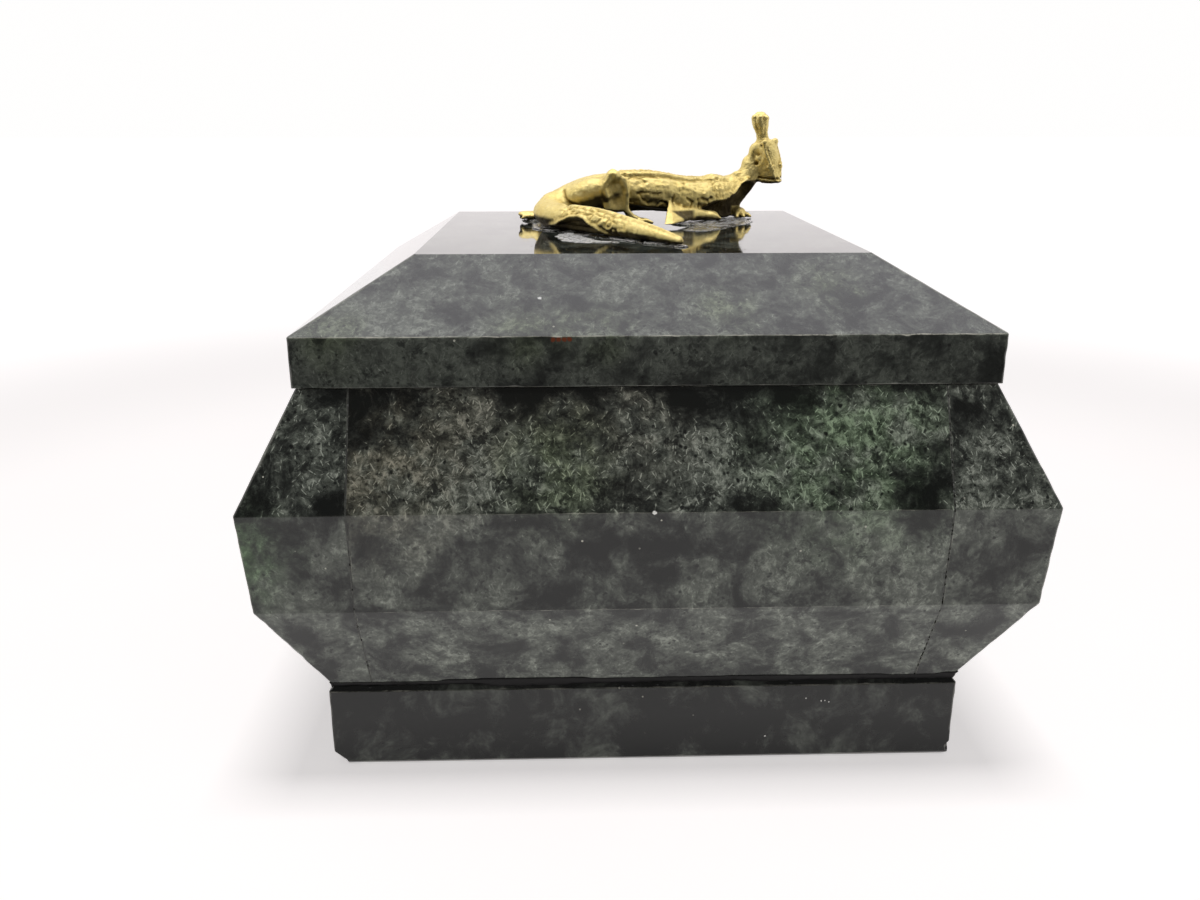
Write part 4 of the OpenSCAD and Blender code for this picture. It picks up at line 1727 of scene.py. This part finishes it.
    def back_detail(self, points: np.ndarray) -> np.ndarray:
        """Height of the dorsal band and the lumps on the flanks.

        Args:
            points: Places on the skin.

        Returns:
            Height at each place.
        """
        run, angle, share = Path(self.trunk, 0.3).around(points)
        on = eased(share, 1.45, 1.2) * eased(run, 13.5, 16.0) * eased(run, 41.0, 37.0)
        ragged = 9 * cloud(points, 1.5, 7.0)
        band = eased(np.abs(angle - 94 + ragged), 36, 31)
        spine = eased(np.abs(angle - 92 + ragged), 12, 4) * (0.5 + 0.5 * cloud(points, 0.9, 12.0))
        groove = eased(np.abs(angle - 52 + ragged), 12, 5) * eased(run, 36, 22)
        flank = eased(angle, -40, -20) * eased(angle, 60, 44)
        drawn = np.stack([0.62 * run, np.radians(angle) * 3.9, 0 * run], -1)
        lumps = cloud(drawn, 1.15, 3.0) + 0.6 * cloud(drawn, 0.6, 21.0)
        scars = np.exp(-(cloud(drawn, 1.7, 33.0) / 0.07) ** 2) * eased(cloud(drawn, 2.6, 51.0), 0.0, 0.2)
        fine = pebbles(run / 0.9 + 0.5 * lumps, np.radians(angle) * 3.2 / 0.9 + 20, 8) - 0.5
        rough = np.maximum(band, eased(run, 31, 35))
        relief = self.band_height * band + self.spine_height * spine - self.groove_depth * groove
        relief += flank * (self.lump_height * lumps - self.scar_depth * scars)
        return on * (relief + self.scale_height * fine * rough)

    def tail_detail(self, points: np.ndarray) -> np.ndarray:
        """Height of the tail's rim, its rows of lumps and the fold under them.

        Args:
            points: Places on the skin.

        Returns:
            Height at each place.
        """
        run, angle, share = Path(self.tail, 0.25).around(points)
        on = eased(share, 1.35, 1.15) * eased(run, 7.0, 10.0)
        above = angle - self.tail_fold(run, points)
        lip = self.tail_lip * np.exp(-(above / 7) ** 2) * eased(run, 40, 30)
        under = eased(above, -4, -20) * eased(angle, -120, -60) * eased(run, 42, 32) * eased(run, 10, 15)
        rim = self.tail_rim * eased(np.abs(angle - 86), 19, 4) * eased(run, 10, 15)
        scaly = eased(above, 6, 16) * eased(angle, 84, 70) * eased(run, 14.5, 18) * eased(run, 37, 27)
        drift = 0.5 * cloud(points, 2.0, 6.0)
        lumps = pebbles(run / 1.9 + drift, np.radians(angle) * 2.4 / 1.25 + 20 + drift, 11) - 0.5
        lumps = 0.55 * lumps + 0.5 * cloud(points, 1.4, 15.0) + 0.2 * cloud(points, 0.7, 9.0)
        return on * (lip - self.tail_undercut * under + rim + self.tail_lumps * lumps * scaly)

    def shaded(self, mesh: Mesh) -> np.ndarray:
        """Say where the skin lies in shade: on undersides, and below the folds of belly, chest and tail.

        Args:
            mesh: Finished skin.

        Returns:
            Value from 0 to 1 for each point.
        """
        x, y, z = mesh.points.T
        down = ((mesh.points - np.array(self.head_at)) @ self.head_axes())[:, 0]
        facing = eased(mesh.beside(mesh.normals())[:, 2], -0.02, -0.32)
        facing *= np.where(z > 7.5, eased(down, 3.4, 4.4), 1)
        shade = facing
        for fold, nearest in ((self.belly_fold, 6.6), (self.chest_fold, 13.7)):
            line = np.array(fold)
            below = eased(z - np.interp(x, line[:, 0], line[:, 2]), -0.1, -0.5)
            inside = eased(x, line[0, 0] - 0.5, line[0, 0]) * eased(x, line[-1, 0] + 3, line[-1, 0] + 2)
            shade = np.maximum(shade, below * inside * eased(y, nearest - 0.3, nearest + 0.3))
        far_hand = eased(x, 21.4, 22.0) * eased(z, 2.4, 2.1)
        shade = np.maximum(shade * (1 - far_hand), facing * far_hand)
        run, angle, share = Path(self.tail, 0.25).around(mesh.points)
        above = angle - self.tail_fold(run, mesh.points)
        below = eased(above, -1, -7) * eased(angle, -150, -120) * eased(share, 1.5, 1.3) * eased(run, 5, 9)
        shade = np.maximum(shade, below * eased(run, 41, 36))
        rump = eased(z, 2.4, 1.6) * eased(x, -9, -11) * eased(y, 14, 12)
        return np.maximum(shade, rump * eased(y, -4, -2))

    def tail_fold(self, run: np.ndarray, points: np.ndarray) -> np.ndarray:
        """Angle of the fold round the tail at some distances along it."""
        rows = np.array(self.tail_fold_turns)
        return np.interp(run, rows[:, 0], rows[:, 1]) + 4 * cloud(points, 2.2, 3.0)

    def scaly(self, points: np.ndarray) -> np.ndarray:
        """Say where the skin has fine scales: on the brow, the neck and the back.

        Args:
            points: Places on the skin.

        Returns:
            Value from 0 to 1 for each place.
        """
        down, near, front = ((points - np.array(self.head_at)) @ self.head_axes()).T
        brow = eased(front, 1.3, 1.9) * eased(np.abs(near), 2.1, 1.7)
        brow *= eased(down, -3.6, -3.0) * eased(down, 4.4, 3.4)
        run, _, share = Path(self.trunk, 0.3).around(points)
        neck = eased(share, 1.5, 1.25) * eased(run, 24, 32) * eased(run, 47, 44)
        return np.maximum(brow, 0.8 * neck)

    def thigh_detail(self, points: np.ndarray) -> np.ndarray:
        """Depth of the crease behind the thigh.

        Args:
            points: Places on the skin.

        Returns:
            Height at each place, which is negative.
        """
        crease = Path(self.thigh_crease, 0.12).places
        gaps = np.linalg.norm(points[:, None, [0, 2]] - crease[None][:, :, [0, 2]], axis=2).min(1)
        return -self.crease_depth * np.exp(-(gaps / 0.35) ** 2) * eased(points[:, 1], 7.5, 6.0)


@dataclass
class FigureGlue:
    """Clear glue that has run out from under the figure, modelled stretched upwards, in millimetres."""

    cell: float = 0.25
    low: Point = (-22, -30.5, -0.5)
    high: Point = (30, 30, 2.4)
    stretch: float = 6.0
    pool_height: float = 0.28
    pool_shape: float = 0.8
    film_height: float = 0.1
    tail_margin: float = 0.55
    pools: tuple[tuple[float, float, float], ...] = (
        (-13.5, 7.5, 5.4), (-8, 7, 5.2), (-3, 7.5, 4.0), (1.6, 5.8, 2.6), (11.5, 8.5, 3.2), (15.6, 12.6, 3.6),
        (20, 16.5, 4.8), (22.8, 18.5, 3.0), (18.5, 22, 4.0), (-19, 16.2, 2.4), (-15.5, 1.5, 2.6))
    films: tuple[tuple[Point, ...], ...] = (
        ((-12.6, -9.5, 1.6), (-11.4, -14, 3.0), (-9.6, -19, 3.2), (-6.2, -20.5, 1.6), (-3.6, -21.5, 0.7)),
        ((11.0, -4.0, 2.2), (13.5, -1.0, 3.6), (16.5, 5.0, 3.9), (21.0, 9.5, 3.4), (24.0, 14.0, 1.5)))
    frosts: tuple[float, ...] = (1.0, 0.22)

    def build(self, finish: ClearGlue, lizard: Lizard) -> None:
        """Model and dress the puddle.

        Args:
            finish: The glue.
            lizard: Figure that the glue holds.
        """
        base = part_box("figure_glue")[0].z / MM
        clay = Clay(self.low, self.high, self.cell)
        high, thin = self.pool_height * self.stretch, self.film_height * self.stretch
        clay.bar([(x, y, 0.0, half + self.tail_margin, high) for x, y, _, half, _ in lizard.tail[1:]], 0.5)
        for x, y, half in self.pools:
            clay.ball((x, y, 0.0), (half, self.pool_shape * half, high), 0.8)
        for film in self.films:
            clay.bar([(x, y, 0.0, half, thin) for x, y, half in film], 0.3)
        clay.cut_foot()
        mesh = Mesh(*clay.skin())
        mesh.points = mesh.eased_points(3, 0.5)
        flat = mesh.points * (1, 1, 0)
        spread = 0.75 * cloud(flat, 2.6, 4.0) + 0.3 * cloud(flat, 0.9, 8.0)
        way = mesh.normals() * (1, 1, 0)
        mesh.points = mesh.points + spread[:, None] * way
        mesh.points[:, 2] = np.maximum(mesh.points[:, 2], 0.0) / self.stretch
        made = link_mesh("glue_puddle", mesh.points + (0, 0, base), mesh.faces)
        all_smooth(made)
        frost = np.zeros(len(mesh.points))
        for film, share in zip(self.films, self.frosts):
            for x, y, half in film:
                far = np.hypot(mesh.points[:, 0] - x, mesh.points[:, 1] - y) / half
                frost = np.maximum(frost, share * eased(far, 1.3, 1.0))
        painted(made, "frost", frost)
        dress(made, finish.material(), Body.LID, "figure_glue")


@dataclass
class CornerJoints:
    """Hard glue in the four upright corner joints, with so many pits to a millimetre of its outer edge."""

    step: float = 0.12
    sunk: float = 0.03
    pit: float = 0.35
    pits_left: float = 0.36
    pits_right: float = 1.26
    pit_halves: tuple[float, float] = (0.1, 0.24)
    end_gap: float = 0.05
    seed: int = 71

    def build(self, finish: SetGlue) -> None:
        """Build and dress the glue.

        Args:
            finish: The glue.
        """
        spots = np.array([v.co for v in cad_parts["corner_glue"].data.vertices]) / MM
        levels = np.unique(np.round(spots[:, 2], 2))
        reach = [np.abs(spots[np.abs(spots[:, 2] - z) < 0.02, 1]).max() for z in levels]
        inner = np.abs(spots[:, 1]).min()
        left, right = np.abs(spots[:, 0]).min(), np.abs(spots[:, 0]).max()
        rng = np.random.default_rng(self.seed)
        height = np.arange(levels[0] + self.end_gap, levels[-1] - self.end_gap, self.step)
        points: list[Point] = []
        faces: list[list[int]] = []
        for side, front in product((-1, 1), repeat=2):
            sunk = self.sunk * (1 + 0.6 * smooth_line(rng, len(height), 5))
            rate = self.pits_right if side > 0 else self.pits_left
            for _ in range(rng.poisson(rate * (levels[-1] - levels[0]))):
                middle = rng.uniform(levels[0], levels[-1])
                half = rng.uniform(*self.pit_halves)
                sunk += rng.uniform(0.3, 1) * self.pit * np.clip(1 - ((height - middle) / half) ** 2, 0, None)
            outer = np.interp(height, levels, reach) - sunk
            first = len(points)
            for z, edge in zip(height, outer):
                for x, y in ((left, edge), (right, edge), (right, inner), (left, inner)):
                    points.append((side * x, front * y, z))
            rows = len(height)
            for i, j in product(range(rows - 1), range(4)):
                a, b = first + 4 * i + j, first + 4 * i + (j + 1) % 4
                faces.append([a, b, b + 4, a + 4])
            faces.append([first + j for j in range(4)])
            faces.append([first + 4 * (rows - 1) + j for j in range(4)])
        made = link_mesh("corner_joint_glue", points, faces)
        turn_out(made)
        dress(made, finish.material(), Body.BASE, "corner_glue")


@dataclass
class MasticBead:
    """Black mastic between plinth and walls, squeezed out unevenly, in millimetres."""

    plinth_chamfer: float = 1.0
    foot_overhang: float = 0.3
    step: float = 0.4
    film: float = 0.05
    run_down: float = 0.85
    smear: float = 0.6
    wall_lean: float = 0.5
    seed: int = 83

    def build(self, finish: BlackMastic) -> None:
        """Build and dress the bead.

        Args:
            finish: The mastic.
        """
        spots = np.array([v.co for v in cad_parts["plinth_mastic"].data.vertices]) / MM
        inner, outer = np.abs(spots[:, 0]).min(), np.abs(spots[:, 0]).max()
        low, high = spots[:, 2].min(), spots[:, 2].max()
        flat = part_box("plinth")[1].x / MM - self.plinth_chamfer
        foot = outer + self.foot_overhang
        side_count = int(2 * outer / self.step)
        count = 4 * side_count
        rng = np.random.default_rng(self.seed)
        down = self.run_down * (0.35 + 0.65 * stepped_line(rng, count, 40))
        down += 0.04 * smooth_line(rng, count, 3)
        up = 0.08 + self.smear * stepped_line(rng, count, 28) + 0.03 * smooth_line(rng, count, 3)
        bulge = 0.08 * smooth_line(rng, count, 5)
        lean = self.wall_lean * up
        none = np.zeros(count)
        rows = [
            (inner + none, low + none),
            (flat + none, low + none),
            (flat + down, low - down),
            (flat + down + self.film, low - down + self.film),
            (foot + bulge, (low + high) / 2 + none),
            (foot + 0.5 * self.film + none, high + none),
            (foot + lean + self.film, high + up),
            (foot + lean, high + up),
            (foot - 0.02 + none, high + none),
            (inner + none, high + none)]
        along = np.linspace(-1, 1, side_count, endpoint=False)
        points: list[Point] = []
        for i in range(count):
            turn, t = i // side_count, along[i % side_count]
            for reach, level in rows:
                x, y = t * reach[i], -reach[i]
                for _ in range(turn):
                    x, y = -y, x
                points.append((x, y, level[i]))
        wide = len(rows)
        faces = []
        for i, j in product(range(count), range(wide)):
            here, there, after = i * wide, (i + 1) % count * wide, (j + 1) % wide
            faces.append([here + j, here + after, there + after, there + j])
        made = link_mesh("mastic_bead", points, faces)
        all_smooth(made)
        turn_out(made)
        dress(made, finish.material(), Body.BASE, "plinth_mastic")


@dataclass
class Hinges:
    """Two brass butt hinges, made to real shape in the frame, which get softened edges and a finish."""

    softening: float = 0.07
    sharp: float = 35.0

    def build(self, finish: RolledBrass) -> None:
        """Soften and dress the hinges' pieces.

        Args:
            finish: The brass.
        """
        brass = finish.material()
        for name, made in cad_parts.items():
            if "hinge" not in name and "screws" not in name:
                continue
            weld = made.modifiers.new("weld", "WELD")
            weld.merge_threshold = 1e-6
            soft = made.modifiers.new("soft_edges", "BEVEL")
            soft.width = self.softening * MM
            soft.segments = 2
            soft.limit_method = "ANGLE"
            soft.angle_limit = math.radians(self.sharp)
            made.data.materials.clear()
            made.data.materials.append(brass)
            LOG.info("%s: brass", name)


@dataclass(frozen=True)
class Card:
    """A cloth that only reflections see, with its corners in millimetres, two shades and its brightness."""

    name: str
    corners: tuple[Point, ...]
    dark: Colour
    light: Colour
    strength: float


DIM_CARD = Card("dim_card", ((-900, -215, 4), (900, -215, 4), (900, -330, 560), (-900, -330, 560)),
                (0.06, 0.06, 0.062), (0.16, 0.155, 0.15), 1.0)
CEILING = Card("ceiling", ((-600, -500, 900), (600, -500, 900), (600, 600, 900), (-600, 600, 900)),
               (0.97, 0.95, 0.99), (1.0, 0.98, 1.02), 2.3)
HORIZON = Card("horizon", ((-1800, 700, 2), (1800, 700, 2), (1800, 700, 420), (-1800, 700, 420)),
               (1.0, 0.95, 0.95), (1.0, 0.96, 0.96), 1.04)


@dataclass
class Studio:
    """Camera, floor and lights, with places in millimetres and angles in degrees."""

    camera_at: Point = (-11.62, -200.01, 102.87)
    pitch: float = 18.03
    yaw: float = 1.65
    lens: float = 31.37
    sensor: float = 36.0
    floor_half: float = 4.0
    table: tuple[Colour, Colour] = ((0.88, 0.845, 0.84), (0.9, 0.865, 0.86))
    fade: tuple[float, float] = (180.0, 480.0)
    glow_tint: Colour = (1.0, 0.97, 0.97)
    glow: float = 0.55
    far_glow: float = 1.04
    cards: tuple[Card, ...] = (DIM_CARD, CEILING, HORIZON)
    lamp_at: Point = (0.0, -100.0, 900.0)
    lamp_size: float = 250.0
    lamp_power: float = 3.2
    surround: Colour = (1.0, 0.995, 0.99)
    fill: float = 0.18

    def build(self) -> None:
        """Set up everything that isn't the object."""
        self.camera()
        self.floor()
        for card in self.cards:
            self.put_up(card)
        self.lamp()
        self.world()
        bpy.context.scene.view_settings.view_transform = "Standard"

    def camera(self) -> None:
        """Put the camera where the photograph was taken from."""
        lens = bpy.data.cameras.new("camera")
        lens.sensor_width = self.sensor
        lens.lens = self.lens
        lens.clip_start = 0.005
        lens.clip_end = 50
        made = linked("camera", lens)
        made.location = Vector(self.camera_at) * MM
        made.rotation_euler = (math.radians(90 - self.pitch), 0, math.radians(-self.yaw))
        bpy.context.scene.camera = made

    def floor(self) -> None:
        """Lay a white table under the box, which fades into the white surround."""
        h = self.floor_half / MM
        made = link_mesh("floor", [(-h, -h, 0), (h, -h, 0), (h, h, 0), (-h, h, 0)], [(0, 1, 2, 3)])
        g = Graph(bpy.data.materials.new("white_table"))
        shade = g.noise(g.place(), 60, 3, 0.5)
        white = g.ramp(shade, [(0.3, self.table[0]), (0.7, self.table[1])])
        matt = g.node("ShaderNodeBsdfDiffuse", Color=white)
        black = g.node("ShaderNodeBsdfDiffuse", Color=(0.0, 0.0, 0.0))
        away = g.span(g.vector("LENGTH", g.place()), *self.fade)
        dim = g.node("ShaderNodeMixShader", away, matt.outputs[0], black.outputs[0])
        strength = g.span(away, 0, 1, self.glow, self.far_glow)
        glow = g.node("ShaderNodeEmission", Color=self.glow_tint, Strength=strength)
        both = g.node("ShaderNodeAddShader", dim.outputs[0], glow.outputs[0])
        made.data.materials.append(g.closed(both.outputs[0]))

    def put_up(self, card: Card) -> None:
        """Put up a cloth that only reflections see.

        Args:
            card: The cloth.
        """
        made = link_mesh(card.name, card.corners, [(0, 1, 2, 3)])
        g = Graph(bpy.data.materials.new(card.name))
        cloth = g.ramp(g.noise(g.place(), 120, 3, 0.5), [(0.3, card.dark), (0.7, card.light)])
        glow = g.node("ShaderNodeEmission", Color=cloth, Strength=card.strength)
        made.data.materials.append(g.closed(glow.outputs["Emission"]))
        made.visible_camera = False
        made.visible_diffuse = False
        made.visible_shadow = False
        made.visible_transmission = False

    def lamp(self) -> None:
        """Hang a broad soft light overhead."""
        light = bpy.data.lights.new("overhead", "AREA")
        light.shape = "SQUARE"
        light.size = self.lamp_size * MM
        light.energy = self.lamp_power
        made = linked("overhead", light)
        made.location = Vector(self.lamp_at) * MM
        made.visible_glossy = False

    def world(self) -> None:
        """Make a white surround that the camera, gloss and glass see in full, and diffuse light in part."""
        world = bpy.data.worlds.new("surround")
        bpy.context.scene.world = world
        g = Graph(world)
        ray = g.node("ShaderNodeLightPath").outputs
        seen = g.math("ADD", ray["Is Camera Ray"], ray["Is Glossy Ray"])
        seen = g.math("ADD", seen, ray["Is Transmission Ray"])
        strength = g.span(seen, 0, 1, self.fill, 1.0)
        light = g.node("ShaderNodeBackground", Color=self.surround, Strength=strength)
        g.node("ShaderNodeOutputWorld", Surface=light.outputs["Background"])


@dataclass
class Stonework:
    """Walls, plinth and lid, each cut from its own place in the stone, in millimetres."""

    band_z: float = 47.7
    rim_z: float = 72.0
    wall_seed: int = 11
    plinth_seed: int = 31
    lid_seed: int = 41
    hinges_x: tuple[float, ...] = (-29.0, 29.0)
    pocket_half: float = 9.0
    pocket_y: tuple[float, float] = (45.8, 70.0)
    wall_pocket_z: tuple[float, float] = (63.4, 66.0)
    lid_pocket_z: tuple[float, float] = (63.0, 65.35)
    plinth_chips: tuple[Chip, ...] = (Chip((-56.5, -56.0, -5.2), 11.0), Chip((51.6, -51.2, 1.7), 1.4))
    lid_wear: ArrisWear = ArrisWear(0.11, 0.1, 0.35, 1.0)
    white: Colour = (0.9, 0.9, 0.86)
    lid_white: Colour = (0.9, 0.9, 0.88)
    rust: Colour = (0.13, 0.032, 0.012)

    def build(self) -> None:
        """Build and dress the six pieces."""
        walls = {
            "front_wall": self.front_stone(),
            "back_wall": self.plain_stone("back_stone", (140, 40, 9)),
            "left_wall": self.left_stone(),
            "right_wall": self.plain_stone("right_stone", (310, -75, 51)),
        }
        for seed, (node, finish) in enumerate(walls.items(), self.wall_seed):
            pockets = self.pockets(self.wall_pocket_z) if node == "back_wall" else ()
            StoneBlock(node + "_stone", node, finish, Body.BASE, seed, pockets=pockets).build()
        StoneBlock("plinth_stone", "plinth", self.plinth_stone(), Body.BASE, self.plinth_seed,
                   chips=self.plinth_chips).build()
        StoneBlock("lid_stone", "lid_slab", self.lid_stone(), Body.LID, self.lid_seed, top_wear=self.lid_wear,
                   pockets=self.pockets(self.lid_pocket_z)).build()

    def pockets(self, heights: tuple[float, float]) -> tuple[tuple[Point, Point], ...]:
        """Lowest and highest corner of each box to cut out for a hinge, between two heights."""
        near, far = self.pocket_y
        return tuple(((x - self.pocket_half, near, heights[0]), (x + self.pocket_half, far, heights[1]))
                     for x in self.hinges_x)

    def front_stone(self) -> Serpentine:
        """Front: pale and green on the right, brownish on the left, with a painted shadow of the lid along
        the top.
        """
        # Painted shadow of the lid's rim: patches that darken the top of the upper band all along the front.
        lid_shadow = tuple(Patch((x, -52, 65.5), 8.5, -0.08) for x in range(-42, 40, 6))
        return Serpentine(
            "front_stone", gain=0.01, calm=0.45, lively_above=self.band_z,
            patches=(Patch((-26, -56, 55), 13, 0.06), Patch((-15, -58, 53), 10, 0.06),
                     Patch((-8, -56, 57), 6, -0.07), Patch((30, -56, 56), 18, 0.1),
                     Patch((6, -57, 54), 10, 0.05), Patch((38, -59, 49), 7, -0.12),
                     Patch((-30, -60, 41), 14, 0.06), Patch((-2, -60, 40), 16, -0.06),
                     Patch((32, -60, 41), 13, 0.06), *lid_shadow),
            stains=(Stain((30, -56, 56), 24, (0.88, 1.08, 0.82), 1.0),
                    Stain((-42, -56, 56), 24, (0.92, 0.82, 0.74), 1.0),
                    Stain((-14, -58, 54), 13, (0.92, 1.06, 0.84), 1.0),
                    Stain((-12, -50, 66), 30, (1.0, 0.88, 0.82), 0.7)),
            flecks=(Fleck((0.3, -60, 47.7), 0.36, self.white),))

    def plain_stone(self, name: str, offset: Point) -> Serpentine:
        """Wall without marks."""
        return Serpentine(name, offset, calm=0.5, lively_above=self.band_z)

    def left_stone(self) -> Serpentine:
        """Left side, with a green place near its front corner."""
        green = (-60, -57, 41)
        return Serpentine("left_stone", (-60, 210, 33), -0.02, (Patch((-59, -57, 41), 9, 0.07),),
                          (Stain(green, 12, (0.78, 1.15, 0.7), 1.0),), calm=0.5, lively_above=self.band_z)

    def plinth_stone(self) -> Serpentine:
        """Plinth: dark, calm stone with a few specks."""
        specks = ((26.4, 11.4), (28.9, 10.8), (29.5, 10.9), (30.2, 10.6), (20.0, 4.3))
        flecks = tuple(Fleck((x, -51, z), 0.17) for x, z in specks)
        return Serpentine("plinth_stone", (90, 120, 400), -0.1, flecks=flecks, calm=1.0, lively_above=20)

    def lid_stone(self) -> Serpentine:
        """Lid: greenish places, a pale rim on the left, a white fleck, and rust in the front arris."""
        green = ((-46, -51, 73), (-18, -50.5, 73), (-8, -51, 73), (28, -43, 78), (11, -47, 75))
        rust = tuple(Fleck((x, -52.2, 71.5), 0.42, self.rust) for x in (-14.1, -13.3, -12.5, -11.7))
        return Serpentine(
            "lid_stone", (-200, 60, 90), 0.01, calm=0.45, lively_above=90,
            patches=(*(Patch(c, 7, 0.04) for c in green), Patch((-38, -52, 68), 18, 0.2)),
            stains=tuple(Stain(c, 8, (1.0, 1.07, 0.85), 1.0) for c in green),
            flecks=(Fleck((-16.1, -44.9, 76.2), 0.36, self.lid_white), *rust),
            even=0.55, even_below=self.rim_z, cloud=5.5, lean=0.028)


def main() -> None:
    """Build the studio and the pieces in order."""
    logging.basicConfig(level=logging.INFO, format="%(message)s")
    Studio().build()
    Stonework().build()
    lizard = Lizard()
    lizard.build(CastBrass())
    FigureGlue().build(ClearGlue(), lizard)
    CornerJoints().build(SetGlue())
    MasticBead().build(BlackMastic())
    Hinges().build(RolledBrass())


if __name__ == "__main__":
    main()
